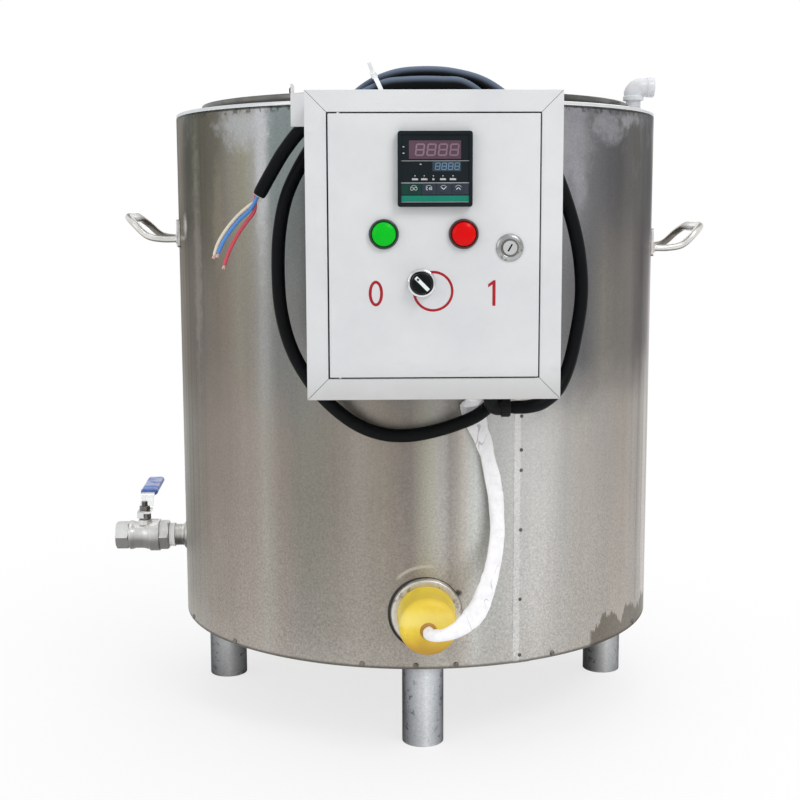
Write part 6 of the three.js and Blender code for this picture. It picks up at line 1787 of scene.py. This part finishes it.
def glandPieces():
    g = glandSettings
    x, y, z = g["spot"]
    above = (x, y, 0)
    bend = [(x, height) for height in g["levels"]]
    bend += arcOf((x + g["bend"], z + g["bend"]), (-g["bend"], -g["bend"]), 0, 90, g["bendSteps"])
    bend += [(x + reach, z) for reach in g["reach"]]
    parts = [sweptShape([Vector((u, y, v)) for u, v in bend], circleOutline(g["tube"], 40), up=(0, 1, 0)),
            turnedShape(g["flange"], "up", above, 56, soft=(0.5, 3)), hexShape(*g["nut"], "up", above),
            turnedShape(g["stem"], "up", above, 40)]
    # The cap nut is fluted round its grip
    points, faces = turnedShape(g["cap"], "right", (0, 0, 0), 72)
    fluted = []
    for px, py, pz in points:
        radius = hypot(py, pz)
        share = 1.0
        if radius > 9 and g["fluteSpan"][0] < px < g["fluteSpan"][1]:
            share -= g["fluteDepth"] * (0.5 + 0.5 * cos(atan2(pz, py) * g["flutes"])) / radius
        fluted.append((px + x, py * share + y, pz * share + z))
    gland = together(*parts, (fluted, faces))
    makePiece("cordGland", gland, "black", "black_plastic", "cord_gland", sharp=42)
    lead = turnedShape(g["lead"], "up", g["leadSpot"], 64, soft=(0.4, 3))
    makePiece("leadGland", lead, "black", "black_rubber", "lead_gland", sharp=42)


glandPieces()

hiddenLooks = {
    "insulation_wrap": "wool", "water_jacket": "zinc", "valve_seat_inner": "tape", "valve_seat_outer": "tape",
    "heater_element": "steel",
}
for node, look in hiddenLooks.items():
    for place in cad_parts[node].material_slots:
        place.material = finishes[look]
print("all pieces dressed")


# Floor, light and air

roomSettings = {"airShade": (0.93, 0.94, 0.95), "airLight": 0.80, "floorShade": (0.90, 0.90, 0.90)}


def makeRoom():
    world = bpy.data.worlds.new("air")
    bpy.context.scene.world = world
    world.use_nodes = True
    tree = world.node_tree
    air = tree.nodes["Background"]
    air.inputs["Color"].default_value = (*roomSettings["airShade"], 1)
    air.inputs["Strength"].default_value = roomSettings["airLight"]
    seen = addStep(tree, "Background", {"Color": (1, 1, 1, 1), "Strength": 1.0}).outputs[0]
    ray = addStep(tree, "LightPath").outputs["Is Camera Ray"]
    chosen = addStep(tree, "MixShader", {0: ray, 1: air.outputs[0], 2: seen}).outputs[0]
    tree.links.new(chosen, tree.nodes["World Output"].inputs["Surface"])

    material, coords = newFinish("paleFloor", roomSettings["floorShade"], 0.0, 0.9)
    tree = material.node_tree
    surface = tree.nodes["Principled BSDF"]
    grain = noiseOf(coords, 3.0, 3.0, 0.55)
    finished(material, rampOf(grain, [(0.3, (0.89,) * 3), (0.7, (0.91,) * 3)]), None)
    glow = addStep(tree, "Emission", {"Color": (1, 1, 1, 1), "Strength": 1.0}).outputs[0]
    ray = addStep(tree, "LightPath").outputs["Is Camera Ray"]
    # Around the tank the floor keeps its shadow, and further out it is plain white
    places = parted(coords)
    reach = vectors("LENGTH", joined(places[0], places[1], 0.0))
    whiteness = times(ray, between(reach, 0.15, 1.25, 0.72, 1.0))
    both = addStep(tree, "MixShader", {0: whiteness, 1: surface.outputs[0], 2: glow}).outputs[0]
    tree.links.new(both, tree.nodes["Material Output"].inputs["Surface"])
    mesh = bpy.data.meshes.new("floor")
    mesh.from_pydata([(-30, -30, 0), (30, -30, 0), (30, 30, 0), (-30, 30, 0)], [], [(0, 1, 2, 3)])
    floor = bpy.data.objects.new("floor", mesh)
    mesh.materials.append(material)
    bpy.context.scene.collection.objects.link(floor)


lightSettings = [
    # Name, place and target in metres, width, height, watts
    ("keyLight", (1.3, -2.1, 2.5), (0, 0, 0.42), 1.1, 1.1, 30),
    ("fillLight", (-2.0, -1.9, 1.4), (0, 0, 0.40), 1.5, 1.6, 8),
    ("topLight", (0.1, 0.2, 2.8), (0, 0.05, 0.5), 2.0, 2.0, 14),
    ("backLight", (0.6, 2.4, 1.9), (0, 0, 0.45), 2.0, 1.4, 12),
]


def makeLights():
    for name, place, target, width, height, watts in lightSettings:
        light = bpy.data.lights.new(name, "AREA")
        light.shape = "RECTANGLE"
        light.size, light.size_y = width, height
        light.energy = watts
        lamp = bpy.data.objects.new(name, light)
        bpy.context.scene.collection.objects.link(lamp)
        lamp.location = place
        lamp.rotation_mode = "QUATERNION"
        lamp.rotation_quaternion = (Vector(target) - Vector(place)).to_track_quat("-Z", "Y")


makeRoom()
makeLights()
print("room lit")
